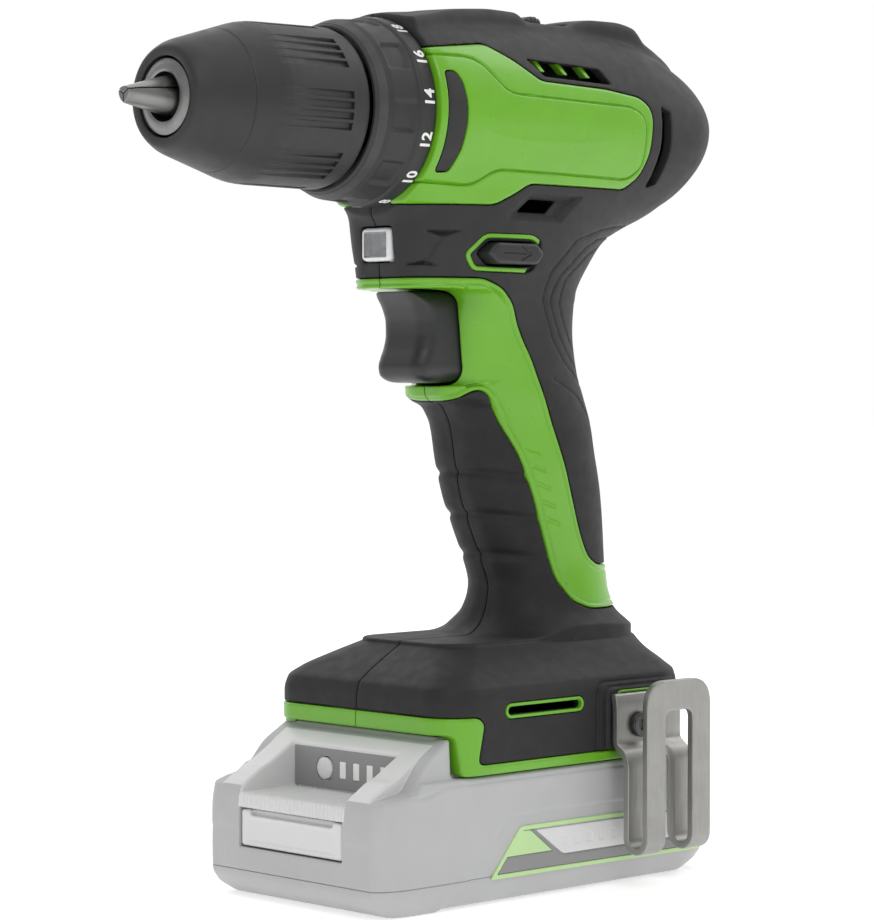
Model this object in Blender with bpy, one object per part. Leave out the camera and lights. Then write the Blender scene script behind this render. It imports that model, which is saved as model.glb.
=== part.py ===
"""Cordless drill driver: keyless chuck, torque collar, two-speed planetary drive, slide-on battery.

Numbers are millimetres, and MM turns them into Blender's metres. +X is the rear and -X the way
the chuck points, +Z is up, y = 0 is the mid-plane and z = 0 the floor under the battery. The
right side of the tool is +Y and its left side, with the belt clip, is -Y.
"""

import math

import bmesh
import bpy
from mathutils import Matrix, Vector

MM = 0.001
GAP = 0.3                   # clearance between pieces that touch
SIDES = (("left", -1), ("right", 1))

# Housing
SPINDLE_Z = 218.0           # height of the spindle axis
BARREL_FRONT = -41.0
NECK_BOTTOM = 169.4
WALL = 3.4
SKIN = 1.5                  # thickness of the gloss panels
FOOT_FRONT = -47.5
FOOT_HALF_WIDTH = 37.3
RIM_BOTTOM = 36.1

# Chuck and collar
NOSE_X = -115.8
JAW_TIP_X = -128.7
JAW_RADIUS = 3.6
JAW_ANGLE = math.radians(14.7)
JAW_LENGTH = 30.0
CLOSED_TIP_RADIUS = 1.9
COLLAR_REAR = -41.4
GROOVE_GROUPS = 8           # grip grooves of the sleeve, in groups of four
COLLAR_HOLLOWS = 9

# Drive
MODULE = 0.9
SUN_TEETH, PLANET_TEETH, RING_TEETH = 12, 15, 42
PLANET_ORBIT = MODULE * (SUN_TEETH + PLANET_TEETH) / 2
GEAR_X = (-14.0, -6.0)      # front and rear faces of the gears

# Controls
LEVER_Z = 179.2
SWITCH_FRONT = -2.5

# Battery pack
PACK_FRONT = -72.4
PACK_REAR = 64.4
PACK_HALF_WIDTH = 37.5
PACK_SHOULDER = 35.7
PACK_SPLIT = 8.0
GAUGE_Y = 8.0
GAUGE_Z = 35.6
TOWER_TOP = 46.8
CELL_RADIUS = 9.1
CELL_LENGTH = 65.0
CELL_PITCH = 18.3
CELL_FIRST_X = -45.1
CELL_Z = 12.0

# Housing screws: x, z and the half width of the housing there
SCREWS = ((-22.0, 244.7, 13.0), (45.5, 244.4, 14.0), (-30.0, 184.5, 19.5), (24.0, 158.0, 16.5),
          (21.6, 101.0, 18.0), (-33.0, 59.5, 34.0))


# ---- shared tools ----

def clear_scene():
    for old in list(bpy.data.objects):
        bpy.data.objects.remove(old, do_unlink=True)


def make_material(name, colour, roughness, metallic=0.0):
    material = bpy.data.materials.new(name)
    material.use_nodes = True
    shader = material.node_tree.nodes["Principled BSDF"]
    shader.inputs["Base Color"].default_value = (*colour, 1.0)
    shader.inputs["Roughness"].default_value = roughness
    shader.inputs["Metallic"].default_value = metallic
    return material


def add_object(name, shape):
    """Links a finished bmesh, drawn in millimetres, as an object in metres."""
    bmesh.ops.triangulate(shape, faces=shape.faces)
    bmesh.ops.recalc_face_normals(shape, faces=shape.faces)
    if shape.calc_volume(signed=True) < 0:
        bmesh.ops.reverse_faces(shape, faces=shape.faces)
    bmesh.ops.scale(shape, vec=(MM, MM, MM), verts=shape.verts)
    mesh = bpy.data.meshes.new(name)
    shape.to_mesh(mesh)
    shape.free()
    made = bpy.data.objects.new(name, mesh)
    bpy.context.collection.objects.link(made)
    return made


def merge_flat_faces(made):
    """Joins faces that lie nearly in one plane, as far as the piece stays closed."""
    for degrees in (3.0, 1.5, 0.5):
        shape = bmesh.new()
        shape.from_mesh(made.data)
        bmesh.ops.dissolve_limit(shape, angle_limit=math.radians(degrees), verts=shape.verts,
                                 edges=shape.edges)
        bmesh.ops.dissolve_degenerate(shape, edges=shape.edges, dist=0.01 * MM)
        bmesh.ops.triangulate(shape, faces=shape.faces)
        closed = all(len(edge.link_faces) == 2 for edge in shape.edges)
        if closed:
            shape.to_mesh(made.data)
        shape.free()
        if closed:
            break


def finish(made, name, material, angle=35.0):
    """Names a piece, gives it its own copy of a material, and shades it smooth between creases."""
    merge_flat_faces(made)
    made.name = name
    made.data.name = name
    made.data.materials.clear()
    own = material.copy()
    own.name = name
    made.data.materials.append(own)
    made.data.shade_smooth()
    made.data.set_sharp_from_angle(angle=math.radians(angle))
    return made


def set_pivot(made, x, y, z):
    """Puts an object's origin on its joint axis without moving its surface."""
    point = Vector((x, y, z)) * MM
    made.data.transform(Matrix.Translation(-point))
    made.location = point
    return made


def combine(base, tool, operation, keep_tool=False):
    """Joins, cuts or intersects base with the tool, which is used up unless it is kept."""
    change = base.modifiers.new("combine", "BOOLEAN")
    change.operation = operation
    change.solver = "MANIFOLD"
    change.object = tool
    graph = bpy.context.evaluated_depsgraph_get()
    mesh = bpy.data.meshes.new_from_object(base.evaluated_get(graph))
    tidy = bmesh.new()
    tidy.from_mesh(mesh)
    bmesh.ops.dissolve_degenerate(tidy, edges=tidy.edges, dist=0.002 * MM)
    bmesh.ops.triangulate(tidy, faces=tidy.faces)
    loose = [edge for edge in tidy.edges if not edge.link_faces]
    bmesh.ops.delete(tidy, geom=loose, context="EDGES")
    tidy.to_mesh(mesh)
    tidy.free()
    base.modifiers.clear()
    base.data = mesh
    if not keep_tool:
        bpy.data.objects.remove(tool, do_unlink=True)
    return base


def add(base, *tools):
    for tool in tools:
        combine(base, tool, "UNION")
    return base


def cut(base, *tools):
    for tool in tools:
        combine(base, tool, "DIFFERENCE")
    return base


def copy_of(source, name):
    made = source.copy()
    made.data = source.data.copy()
    made.name = name
    bpy.context.collection.objects.link(made)
    return made


def loft(name, rings):
    """Joins equal rings of points into one closed skin with flat ends."""
    shape = bmesh.new()
    rows = [[shape.verts.new(point) for point in ring] for ring in rings]
    count = len(rows[0])
    for low, high in zip(rows, rows[1:]):
        for i in range(count):
            j = (i + 1) % count
            shape.faces.new((low[i], low[j], high[j], high[i]))
    shape.faces.new(rows[0])
    shape.faces.new(rows[-1])
    return add_object(name, shape)


def prism(name, outline, axis, low, high):
    """Extrudes an outline along Y (x, z points), X (y, z points) or Z (x, y points)."""
    spread = {"X": lambda p, h: (h, p[0], p[1]),
              "Y": lambda p, h: (p[0], h, p[1]),
              "Z": lambda p, h: (p[0], p[1], h)}[axis]
    return loft(name, [[spread(p, level) for p in outline] for level in (low, high)])


def box(name, x0, x1, y0, y1, z0, z1):
    return prism(name, ((x0, y0), (x1, y0), (x1, y1), (x0, y1)), "Z", z0, z1)


def turned(name, profile, steps=32):
    """Turns a closed (x, radius) profile round the X axis."""
    shape = bmesh.new()
    on_axis = [shape.verts.new((x, 0, 0)) if r == 0 else None for x, r in profile]
    rows = []
    for step in range(steps):
        angle = 2 * math.pi * step / steps
        rows.append([held or shape.verts.new((x, r * math.cos(angle), r * math.sin(angle)))
                     for (x, r), held in zip(profile, on_axis)])
    count = len(profile)
    for step in range(steps):
        near, far = rows[step], rows[(step + 1) % steps]
        for i in range(count):
            j = (i + 1) % count
            corners = list(dict.fromkeys((near[i], near[j], far[j], far[i])))
            if len(corners) > 2:
                shape.faces.new(corners)
    return add_object(name, shape)


def rod(name, start, end, radius, steps=20):
    """A round bar between two points."""
    start, end = Vector(start), Vector(end)
    length = (end - start).length
    made = turned(name, ((0, 0), (0, radius), (length, radius), (length, 0)), steps)
    turn = (end - start).to_track_quat("X", "Z").to_matrix().to_4x4()
    made.data.transform(Matrix.Translation(start * MM) @ turn)
    return made


def lift_to_spindle(made):
    made.data.transform(Matrix.Translation((0, 0, SPINDLE_Z * MM)))
    return made


def tube_along(name, path, radius, steps=5):
    """A round wire through the points of a path, with flat ends."""
    rings = []
    for i, point in enumerate(path):
        ahead = (path[min(i + 1, len(path) - 1)] - path[max(i - 1, 0)]).normalized()
        side = ahead.cross(Vector((0.31, 0.17, 0.94))).normalized() if i == 0 else \
            (side - ahead * side.dot(ahead)).normalized()
        other = ahead.cross(side)
        rings.append([point + (side * math.cos(a) + other * math.sin(a)) * radius
                      for a in (2 * math.pi * s / steps for s in range(steps))])
    return loft(name, rings)


def spring(name, start, end, coil_radius, wire_radius, turns, per_turn=12):
    """A compression spring along X, from start to end."""
    low, high = start[0] + wire_radius, end - wire_radius
    count = int(turns * per_turn)
    path = []
    for i in range(count + 1):
        angle = 2 * math.pi * i / per_turn
        path.append(Vector((low + (high - low) * i / count,
                            start[1] + coil_radius * math.cos(angle),
                            start[2] + coil_radius * math.sin(angle))))
    return tube_along(name, path, wire_radius)


def corner(cx, cy, width, depth, power, steps):
    """Points of a rounded corner, from depth-wise (cy + depth) round to width-wise (cx + width)."""
    points = []
    for i in range(steps + 1):
        angle = math.pi / 2 * i / steps
        points.append((cx + width * math.sin(angle) ** (2 / power),
                       cy + depth * math.cos(angle) ** (2 / power)))
    return points


def plan_ring(z, front, front_flat, side_from, half_width, side_to, rear, rear_flat,
              power=2.0, steps=4):
    """A level section: flat front, rounded corners, straight sides, flat rear."""
    lead = [(side_from - dx, y) for dx, y in
            corner(0, front_flat, side_from - front, half_width - front_flat, power, steps)]
    tail = corner(side_to, rear_flat, rear - side_to, half_width - rear_flat, power, steps)
    side = lead[::-1] + tail
    return [(x, y, z) for x, y in side] + [(x, -y, z) for x, y in reversed(side)]


def barrel_ring(x, top, bottom, half_width, power=2.1, steps=28):
    """An upright section of the motor barrel about the spindle height."""
    ring = []
    for i in range(steps):
        angle = 2 * math.pi * (i + 0.5) / steps
        c, s = math.cos(angle), math.sin(angle)
        rise = top - SPINDLE_Z if s > 0 else SPINDLE_Z - bottom
        ring.append((x, math.copysign(abs(c) ** (2 / power), c) * half_width,
                     SPINDLE_Z + math.copysign(abs(s) ** (2 / power), s) * rise))
    return ring


# ---- housing form ----

def barrel_form(inset):
    """The motor barrel: x, top, bottom and half width of each section."""
    sections = ((BARREL_FRONT, 245.8, 190.2, 27.9), (-37, 246.4, 189.6, 28.6),
                (-20, 247.8, 189, 29.2), (0, 248.9, 189, 29.5), (30, 248.8, 189, 29.5),
                (50, 248.4, 189.2, 29.2),
                (57, 243.4, 190.2, 28.6), (66, 241.4, 194, 27), (72, 238.2, 198, 24.5),
                (76.5, 233.5, 202, 21), (79, 228.5, 207, 16), (80, 225, 212, 10))
    first, last = sections[0][0] + inset, sections[-1][0] - inset
    rings = []
    for x, top, bottom, half in sections:
        place = min(max(x, first), last - (sections[-1][0] - x) * 0.8 if x > 60 else x)
        rings.append(barrel_ring(place, top - inset, bottom + inset, half - inset))
    return loft("barrel form", rings)


def stacked_form(name, sections, inset, power):
    """A form drawn as level sections, shrunk by inset on every side."""
    rings = []
    for z, front, front_flat, side_from, half, side_to, rear, rear_flat in sections:
        front_flat = max(front_flat - inset * 0.6, 0.5)
        rear_flat = max(rear_flat - inset * 0.6, 0.5)
        rings.append(plan_ring(z, front + inset, front_flat, side_from, half - inset, side_to,
                               rear - inset, rear_flat, power))
    return loft(name, rings)


def neck_form(inset):
    return stacked_form("neck form", (
        (NECK_BOTTOM + inset, -38.3, 11, -6, 22.0, -6, 33, 2),
        (175, -38.8, 11, -6, 22.6, -6, 37.4, 2),
        (182, -39.5, 12, -6, 23.8, -6, 43.5, 2),
        (190, -40.2, 12, -6, 24.4, -5, 56, 2),
        (197, -40.6, 12, -5, 25, 0, 64, 2),
        (206, -40.6, 12, -5, 25, 0, 64, 2)), inset, 2.0)


def grip_form(inset):
    """The pistol grip, from inside the barrel down into the foot."""
    return stacked_form("grip form", (
        (62, 3, 5, 22, 21.5, 26, 50, 3), (72, 3, 5, 22, 21.5, 26, 49.4, 3),
        (77, 3.4, 4, 24, 19.8, 26, 47.8, 2), (84, 4, 3, 25, 18.7, 25, 46.3, 2),
        (92, 1.2, 3, 23.5, 18.0, 24, 46.1, 2), (101, -3, 3, 21, 18.4, 22, 45.7, 2),
        (111, -7.2, 3, 19, 19.4, 19, 44.5, 2), (121, -10.0, 3, 16, 20.4, 16, 41.8, 2),
        (131, -12.4, 3, 14, 20.5, 14, 39.6, 2), (139, -16.6, 4, 10, 20.8, 10, 36.8, 2),
        (146, -17.6, 5, 8, 20.5, 8, 34.2, 2), (158, -18, 6, 7, 20.5, 7, 32.0, 2),
        (168, -18, 6, 6, 21.2, 6, 32.7, 2), (182, -18, 6, 4, 22.5, 4, 41.5, 2)), inset, 2.0)


def guard_form(inset):
    """The lip under the trigger, which grows out of the front of the grip."""
    return stacked_form("guard form", (
        (137.6 + inset * 0.6, -22, 3, -6, 15, -4, 8, 2), (139.2, -28, 4, -8, 17.5, -4, 8, 2),
        (142 - inset * 0.6, -28.6, 4, -8, 18, -4, 8, 2)), inset, 2.0)


def foot_form(inset):
    """The foot: upright walls, a sloping roof, open at the bottom."""
    low = 30.0 if inset else RIM_BOTTOM
    return stacked_form("foot form", (
        (low, FOOT_FRONT, 29, -37, FOOT_HALF_WIDTH, 40, 54.4, 20),
        (55, FOOT_FRONT, 29, -37, FOOT_HALF_WIDTH, 40, 54.4, 20),
        (58.6 - inset * 0.4, -47.2, 28.6, -37, 36.7, 40, 53.9, 20),
        (61 - inset * 0.8, -45.6, 27, -36, 34.6, 40, 52.4, 16),
        (68.8 - inset, -33, 14, -22, 21.5, 34, 49.6, 6)), inset, 2.4)


def outer_form(name, inset):
    """The whole housing as one solid, shrunk by inset."""
    whole = barrel_form(inset)
    add(whole, neck_form(inset), grip_form(inset), foot_form(inset))
    if inset < WALL:
        add(whole, guard_form(inset))
    whole.name = name
    return whole


# ---- outlines on the side of the housing, as (x, z) ----

PANEL_OUTLINE = ((-40.6, 234.4), (-19.5, 237.1), (-11.6, 233.2), (-2.6, 227.6), (24, 226.9),
                 (37.2, 225.4), (41.2, 223), (42.4, 219.5), (42.3, 208.9), (40.8, 202.5), (36.6, 199),
                 (-4.3, 198.9), (-9.5, 196.1), (-17, 192.6), (-40.6, 192.4))
BAR_OUTLINE = ((-38.6, 228), (-34.6, 228.2), (-33.6, 225), (-33.6, 204), (-34.6, 200.9),
               (-38.6, 200.9))
STRIPE_OUTLINE = ((-39.5, 172.2), (-18.2, 172.2), (-12.4, 170), (-7.2, 165.7), (-2, 155.4),
                  (1.6, 149.5), (9.8, 131.5), (16.9, 115.4), (24.2, 98.1), (27.4, 92.6),
                  (32, 90), (60, 89), (60, 78), (34, 77.6), (26, 77.8), (20.2, 80), (15.4, 86.3),
                  (11.4, 96.4), (5.9, 110.2), (-0.3, 123.4), (-6, 134.2), (-12, 138.6), (-24, 138.3),
                  (-30, 137), (-30, 143), (-24, 143), (-24, 169.1), (-39.5, 169.1))
RIM_OUTLINE = ((-50, 52.4), (-37, 52.4), (-34.6, 50.3), (-36.0, 41.0), (-34.4, 39.3), (60, 39.3),
               (60, RIM_BOTTOM), (-41.1, RIM_BOTTOM), (-41.7, 44.4), (-44.0, 47.6), (-50, 47.6))
TOP_VENT = ((-5.5, 233.8), (23.6, 232.8), (26.8, 228.8), (-0.5, 229.4))
REAR_VENT = ((46.5, 223.5), (50.5, 222), (51.5, 211), (50, 201), (46, 200), (46.8, 211))
DIAMOND = ((-6.1, 190.6), (-1.8, 194.3), (8.9, 194.3), (5, 190.7))
LEVER_OUTLINE = ((-20.5, 179.2), (-17, 182.2), (-1, 182.2), (1.8, 179.2), (-1, 176.2),
                 (-17, 176.2))
TRIGGER_OUTLINE = ((-35, 169.0), (-31.8, 165.6), (-29.7, 160.4), (-30.0, 154.4), (-32.2, 149.2),
                   (-32.2, 146), (-30, 143.4), (-22, 142.6), (-10.5, 142.6), (-10.5, 169.0))


def grown(outline, by):
    """Moves each point of an outline outward by a distance, about its own corners."""
    points = [Vector(p) for p in outline]
    count = len(points)
    area = sum(points[i].x * points[(i + 1) % count].y - points[(i + 1) % count].x * points[i].y
               for i in range(count))
    turn = 1 if area > 0 else -1
    result = []
    for i in range(count):
        before = (points[i] - points[i - 1]).normalized()
        after = (points[(i + 1) % count] - points[i]).normalized()
        out_a = Vector((before.y, -before.x)) * turn
        out_b = Vector((after.y, -after.x)) * turn
        blend = out_a + out_b
        result.append(tuple(points[i] + blend * (by / max(blend.dot(out_a), 0.35))))
    return result


def half_of(whole, name, side):
    """One side of a solid, cut 0.15 mm short of the mid-plane."""
    low, high = (GAP / 2, 60) if side > 0 else (-60, -GAP / 2)
    half = copy_of(whole, name)
    return combine(half, box("half space", -80, 95, low, high, 20, 260), "INTERSECT")


def skin_piece(name, outline, outer, inner, side, near):
    """A thin panel that follows the housing surface inside an outline."""
    low, high = (near, 60) if side > 0 else (-60, -near)
    piece = prism(name, outline, "Y", low, high)
    combine(piece, outer, "INTERSECT", keep_tool=True)
    return combine(piece, inner, "DIFFERENCE", keep_tool=True)


def panel_pocket(outline, floor, near, side):
    """The recess that takes a panel: outside the floor form, inside the grown outline."""
    low, high = (near - GAP, 60) if side > 0 else (-60, -near + GAP)
    pocket = prism("pocket", grown(outline, GAP), "Y", low, high)
    return combine(pocket, floor, "DIFFERENCE", keep_tool=True)


def screw_boss(shell, floor, x, z):
    """A post across the shell, which ends inside the thickness of the walls."""
    boss = rod("boss", (x, -40, z), (x, 40, z), 3.6, 12)
    combine(boss, floor, "INTERSECT", keep_tool=True)
    add(shell, boss)


def screw_holes(shell):
    """Blind bores from the right side, with a counterbore for each head."""
    for x, z, half in SCREWS:
        cut(shell, rod("bore", (x, -half + 5, z), (x, 45, z), 1.8, 8),
            rod("counterbore", (x, half - 6, z), (x, 45, z), 2.8, 12))


def side_openings(shell):
    """Vents and the lever slot, which go right through both walls."""
    for outline in (TOP_VENT, REAR_VENT, DIAMOND):
        for side in (-1, 1):
            low, high = sorted((side * 18, side * 45))
            cut(shell, prism("vent", outline, "Y", low, high))
    cut(shell, prism("lever slot", grown(LEVER_OUTLINE, 0.4), "Y", -45, 45))


def trigger_section(spare):
    """The trigger seen from the front: a rectangle with chamfered corners, grown by a clearance."""
    wide, low, high = 12.0 + spare, 142.6 - spare, 169.0 + spare
    corner = 4.0
    return ((-wide, low + corner), (-wide + corner, low), (wide - corner, low), (wide, low + corner),
            (wide, high - corner), (wide - corner, high), (-wide + corner, high), (-wide, high - corner))


def trigger_mouth():
    return prism("trigger mouth", trigger_section(GAP), "X", -45, -7.0)


def pack_mouth():
    """The open front of the foot, below the green rim, where the pack slides in."""
    return prism("pack mouth", ((-60, 20), (-40.3, 20), (-41.3, 44.6), (-43.6, 48), (-60, 48)),
                 "Y", -60, 60)


def front_openings(shell):
    """The collar end of the barrel, the lamp window, the trigger mouth and the selector slot."""
    bore = lift_to_spindle(rod("gearbox mouth", (-50, 0, 0), (-30, 0, 0), 23.4, 28))
    cut(shell, bore,
        box("lamp window", -50, -32, -6.3, 6.3, 176.5, 186.7),
        trigger_mouth(), pack_mouth(),
        box("selector slot", 8, 28, -9, 9, 240, 260))


def housings(plastic, gloss):
    outer = outer_form("outer", 0.0)
    proud = outer_form("proud", -0.25)
    under = outer_form("under", SKIN)
    floor = outer_form("floor", SKIN + GAP)
    hollow = outer_form("hollow", WALL)
    shell = copy_of(outer, "shell")
    combine(shell, hollow, "DIFFERENCE", keep_tool=True)
    for x, z, half in SCREWS:
        screw_boss(shell, floor, x, z)
    screw_holes(shell)
    side_openings(shell)
    front_openings(shell)
    add(shell, box("clip pad", 11, 45, -38.6, -36, 40.2, 58))
    cut(shell, rod("clip screw bore", (24, -50, 46), (24, -30, 46), 1.9, 10))
    for name, side in SIDES:
        half = half_of(shell, name + "_housing", side)
        cut(half, panel_pocket(PANEL_OUTLINE, floor, 8, side),
            panel_pocket(STRIPE_OUTLINE, floor, 0.15, side))
        low, high = sorted((0, side * 60))
        cut(half, prism("rim space", grown(RIM_OUTLINE, GAP), "Y", low, high))
        rail = box("rail", -30.5, 42, *sorted((side * 31.2, side * 35.4)), 40.4, 43)
        add(half, rail)
        finish(half, name + "_housing", plastic)
        panel = skin_piece(name + "_side_panel", PANEL_OUTLINE, proud, under, side, 8)
        low, high = sorted((side * 8, side * 60))
        cut(panel, prism("bar", grown(BAR_OUTLINE, GAP), "Y", low, high))
        finish(panel, name + "_side_panel", gloss)
        stripe = skin_piece(name + "_grip_stripe", STRIPE_OUTLINE, proud, under, side, 0.15)
        finish(cut(stripe, trigger_mouth()), name + "_grip_stripe", gloss)
        rim = prism(name + "_base_rim", RIM_OUTLINE, "Y", *sorted((side * GAP / 2, side * 60)))
        combine(rim, proud, "INTERSECT", keep_tool=True)
        combine(rim, hollow, "DIFFERENCE", keep_tool=True)
        cut(rim, box("pack way", -60, 42, -33.3, 33.3, 30, TOWER_TOP + GAP))
        finish(rim, name + "_base_rim", gloss)
    for form in (outer, proud, under, floor, hollow, shell):
        bpy.data.objects.remove(form, do_unlink=True)


# ---- chuck ----

def cone_radius(x):
    """Outside of the closed jaws at a place along the spindle."""
    return CLOSED_TIP_RADIUS + (x - JAW_TIP_X) * math.tan(JAW_ANGLE)


def jaw_line(x, extra=0.0):
    """A point on a jaw's own axis, in the half plane above the spindle."""
    return Vector((x, 0, cone_radius(x) - JAW_RADIUS / math.cos(JAW_ANGLE) + extra))


def turn_about_spindle(made, degrees):
    """Swings a piece drawn about the X axis, then lifts it to the spindle."""
    made.data.transform(Matrix.Rotation(math.radians(degrees), 4, "X"))
    return lift_to_spindle(made)


def chuck_body():
    """The steel core: nose ring, cone, rear flange, central bore and three slanted jaw bores."""
    core = turned("chuck_body", (
        (NOSE_X, 6.6), (NOSE_X, 9.6), (NOSE_X + 0.6, 10.2), (-110.6, 10.2), (-110.2, 11.2), (-100, 14.9),
        (-84.2, 14.9), (-84.2, 18.8), (-62.2, 18.8), (-62.2, 7.4), (-66, 7.4), (-66, 6.0),
        (-74, 6.0), (-74, 6.6)), 28)
    for i in range(3):
        bore = rod("jaw bore", jaw_line(-135), jaw_line(-66.5), JAW_RADIUS + 0.25, 14)
        bore.data.transform(Matrix.Rotation(2 * math.pi * i / 3, 4, "X"))
        cut(core, bore)
    return lift_to_spindle(core)


def jaw(number):
    """A jaw: a slanted round bar, its gripping side cut to a 120 degree wedge."""
    start, end = jaw_line(JAW_TIP_X - 3), jaw_line(JAW_TIP_X + JAW_LENGTH)
    piece = rod("jaw", start, end, JAW_RADIUS, 14)
    slope = math.tan(math.radians(30))
    wedge = prism("wedge", ((0, 0.12), (30, 0.12 + 30 * slope), (30, 40), (-30, 40),
                            (-30, 0.12 + 30 * slope)), "X", JAW_TIP_X, JAW_TIP_X + 60)
    combine(piece, wedge, "INTERSECT")
    turn_about_spindle(piece, 120 * (number - 1))
    return set_pivot(piece, JAW_TIP_X, 0, SPINDLE_Z)


def chuck_sleeve():
    """The plastic grip sleeve, open through its middle, with groups of four grooves round it."""
    sleeve = turned("chuck_sleeve", (
        (-111.4, 11.8), (-111.4, 13.4), (-110.4, 14.8), (-108.6, 15.8), (-94.6, 21.5), (-92.6, 22.0),
        (-64, 22.4), (-62.0, 21.6), (-62.0, 19.4), (-91.6, 19.4), (-100.4, 15.6), (-110.2, 11.8)), 36)
    for group in range(GROOVE_GROUPS):
        for line in range(4):
            angle = math.radians(96 + 360 / GROOVE_GROUPS * group + 7.4 * (line - 1.5))
            flute = box("flute", -88, -68, -0.9, 0.9, 21.5, 24)
            flute.data.transform(Matrix.Rotation(angle, 4, "X"))
            cut(sleeve, flute)
    return set_pivot(lift_to_spindle(sleeve), -90, 0, SPINDLE_Z)


def chuck_nut():
    """The ring that drives the jaws along when the sleeve turns."""
    ring = turned("chuck_nut", ((-91.2, 15.3), (-91.2, 19.1), (-84.6, 19.1), (-84.6, 15.3)), 24)
    return set_pivot(lift_to_spindle(ring), -90, 0, SPINDLE_Z)


def chuck_screw():
    """The screw up the middle of the chuck, which holds it on the spindle."""
    screw = turned("chuck_screw", ((-77.4, 1.6), (-77.4, 4.6), (-74.3, 4.6), (-74.3, 2.2), (-58, 2.2),
                                   (-58, 0), (-76, 0), (-76, 1.6)), 16)
    return set_pivot(lift_to_spindle(screw), -74, 0, SPINDLE_Z)


# ---- collar and clutch ----

def torque_collar():
    """The setting collar: a flared front, a row of hollows for the fingers, and a smooth number band."""
    ring = turned("torque_collar", (
        (-61.0, 23.0), (-60.4, 24.2), (-56, 24.8), (-54.6, 26.0), (-46, 26.4), (-45.4, 27.0), (-42, 27.0),
        (COLLAR_REAR, 26.4), (COLLAR_REAR, 24.0), (-58.6, 24.0), (-59.2, 22.4), (-61.0, 22.4)), 36)
    for hollow in range(COLLAR_HOLLOWS):
        notch = box("notch", -56.2, -47.6, -4, 4, 25.5, 29)
        notch.data.transform(Matrix.Rotation(math.radians(96.5 + 360 / COLLAR_HOLLOWS * hollow), 4, "X"))
        cut(ring, notch)
    return set_pivot(lift_to_spindle(ring), -50, 0, SPINDLE_Z)


def clutch_nut():
    ring = turned("clutch_nut", ((-53.0, 14.2), (-53.0, 23.2), (-50.2, 23.2), (-50.2, 14.2)), 24)
    return set_pivot(lift_to_spindle(ring), -51, 0, SPINDLE_Z)


def clutch_spring():
    coil = spring("clutch_spring", (-49.6, 0, 0), -41.6, 17.2, 0.9, 2.5, 12)
    return lift_to_spindle(coil)


# ---- gearbox ----

def gear_outline(teeth, pitch_radius, internal=False):
    """Straight-flanked teeth round a circle, thinned for backlash. A tooth points along +Z."""
    reach, depth = 0.72 * MODULE, 1.05 * MODULE
    tip, root = (pitch_radius - reach, pitch_radius + depth) if internal else \
        (pitch_radius + reach, pitch_radius - depth)
    half_pitch_tooth = (math.pi * MODULE / 2 - 0.42) / 2
    tip_half = half_pitch_tooth - reach * math.tan(math.radians(20))
    root_half = half_pitch_tooth + depth * math.tan(math.radians(20))
    points = []
    for tooth in range(teeth):
        middle = 2 * math.pi * tooth / teeth
        for radius, half in ((root, -root_half), (tip, -tip_half), (tip, tip_half), (root, root_half)):
            angle = middle + half / radius
            points.append((-radius * math.sin(angle), radius * math.cos(angle)))
    return points


def planet_seat(number):
    """The angle of a planet's axis about the spindle, and its place."""
    angle = 2 * math.pi * (number - 1) / 3
    return angle, (-PLANET_ORBIT * math.sin(angle), SPINDLE_Z + PLANET_ORBIT * math.cos(angle))


def toothed_ring(name, outline, teeth, other_radius, x0, x1, turn=0.0):
    """A ring with teeth on one side and a plain circle, one point per tooth, on the other."""
    shape = bmesh.new()
    ends = []
    for x in (x0, x1):
        toothed = [shape.verts.new((x, y, z)) for y, z in outline]
        plain = []
        for tooth in range(teeth):
            angle = 2 * math.pi * (tooth - 0.5) / teeth
            y, z = -other_radius * math.sin(angle), other_radius * math.cos(angle)
            plain.append(shape.verts.new((x, y, z)))
        for i in range(teeth):
            j = (i + 1) % teeth
            shape.faces.new((plain[i], *toothed[4 * i:4 * i + 4], plain[j]))
            shape.faces.new((plain[j], toothed[4 * i + 3], toothed[4 * j]))
        ends.append((toothed, plain))
    for near, far in zip(*ends):
        for i in range(len(near)):
            j = (i + 1) % len(near)
            shape.faces.new((near[i], near[j], far[j], far[i]))
    made = add_object(name, shape)
    made.data.transform(Matrix.Rotation(turn, 4, "X"))
    return made


def planet(number):
    """A planet gear, with a gap toward the sun's tooth."""
    angle, (y, z) = planet_seat(number)
    outline = gear_outline(PLANET_TEETH, MODULE * PLANET_TEETH / 2)
    wheel = toothed_ring("planet", outline, PLANET_TEETH, 2.3, *GEAR_X, turn=angle)
    wheel.data.transform(Matrix.Translation((0, y * MM, z * MM)))
    return set_pivot(wheel, GEAR_X[0], y, z)


def ring_gear():
    """The fixed ring: its tooth gaps stand opposite the planets' teeth."""
    outline = gear_outline(RING_TEETH, MODULE * RING_TEETH / 2, internal=True)
    return lift_to_spindle(toothed_ring("ring_gear", outline, RING_TEETH, 20.9, GEAR_X[0] - 1,
                                        GEAR_X[1] + 1, turn=math.pi / RING_TEETH))


def planet_carrier():
    """The output spindle, its flange, and the three pins that carry the planets."""
    shaft = turned("planet_carrier", (
        (-73.6, 2.6), (-73.6, 5.7), (-65.6, 5.7), (-65.6, 7.0), (-46, 7.0), (-46, 6.0), (-20, 6.0),
        (-18.6, 7.0), (-18.6, 18.0), (-15.4, 18.0), (-15.4, 0), (-57, 0), (-57, 2.6)), 24)
    for number in range(1, 4):
        angle = 2 * math.pi * (number - 1) / 3
        y, z = -PLANET_ORBIT * math.sin(angle), PLANET_ORBIT * math.cos(angle)
        add(shaft, rod("pin", (-17, y, z), (GEAR_X[1] + 0.5, y, z), 1.9, 10))
    return set_pivot(lift_to_spindle(shaft), -40, 0, SPINDLE_Z)


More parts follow.
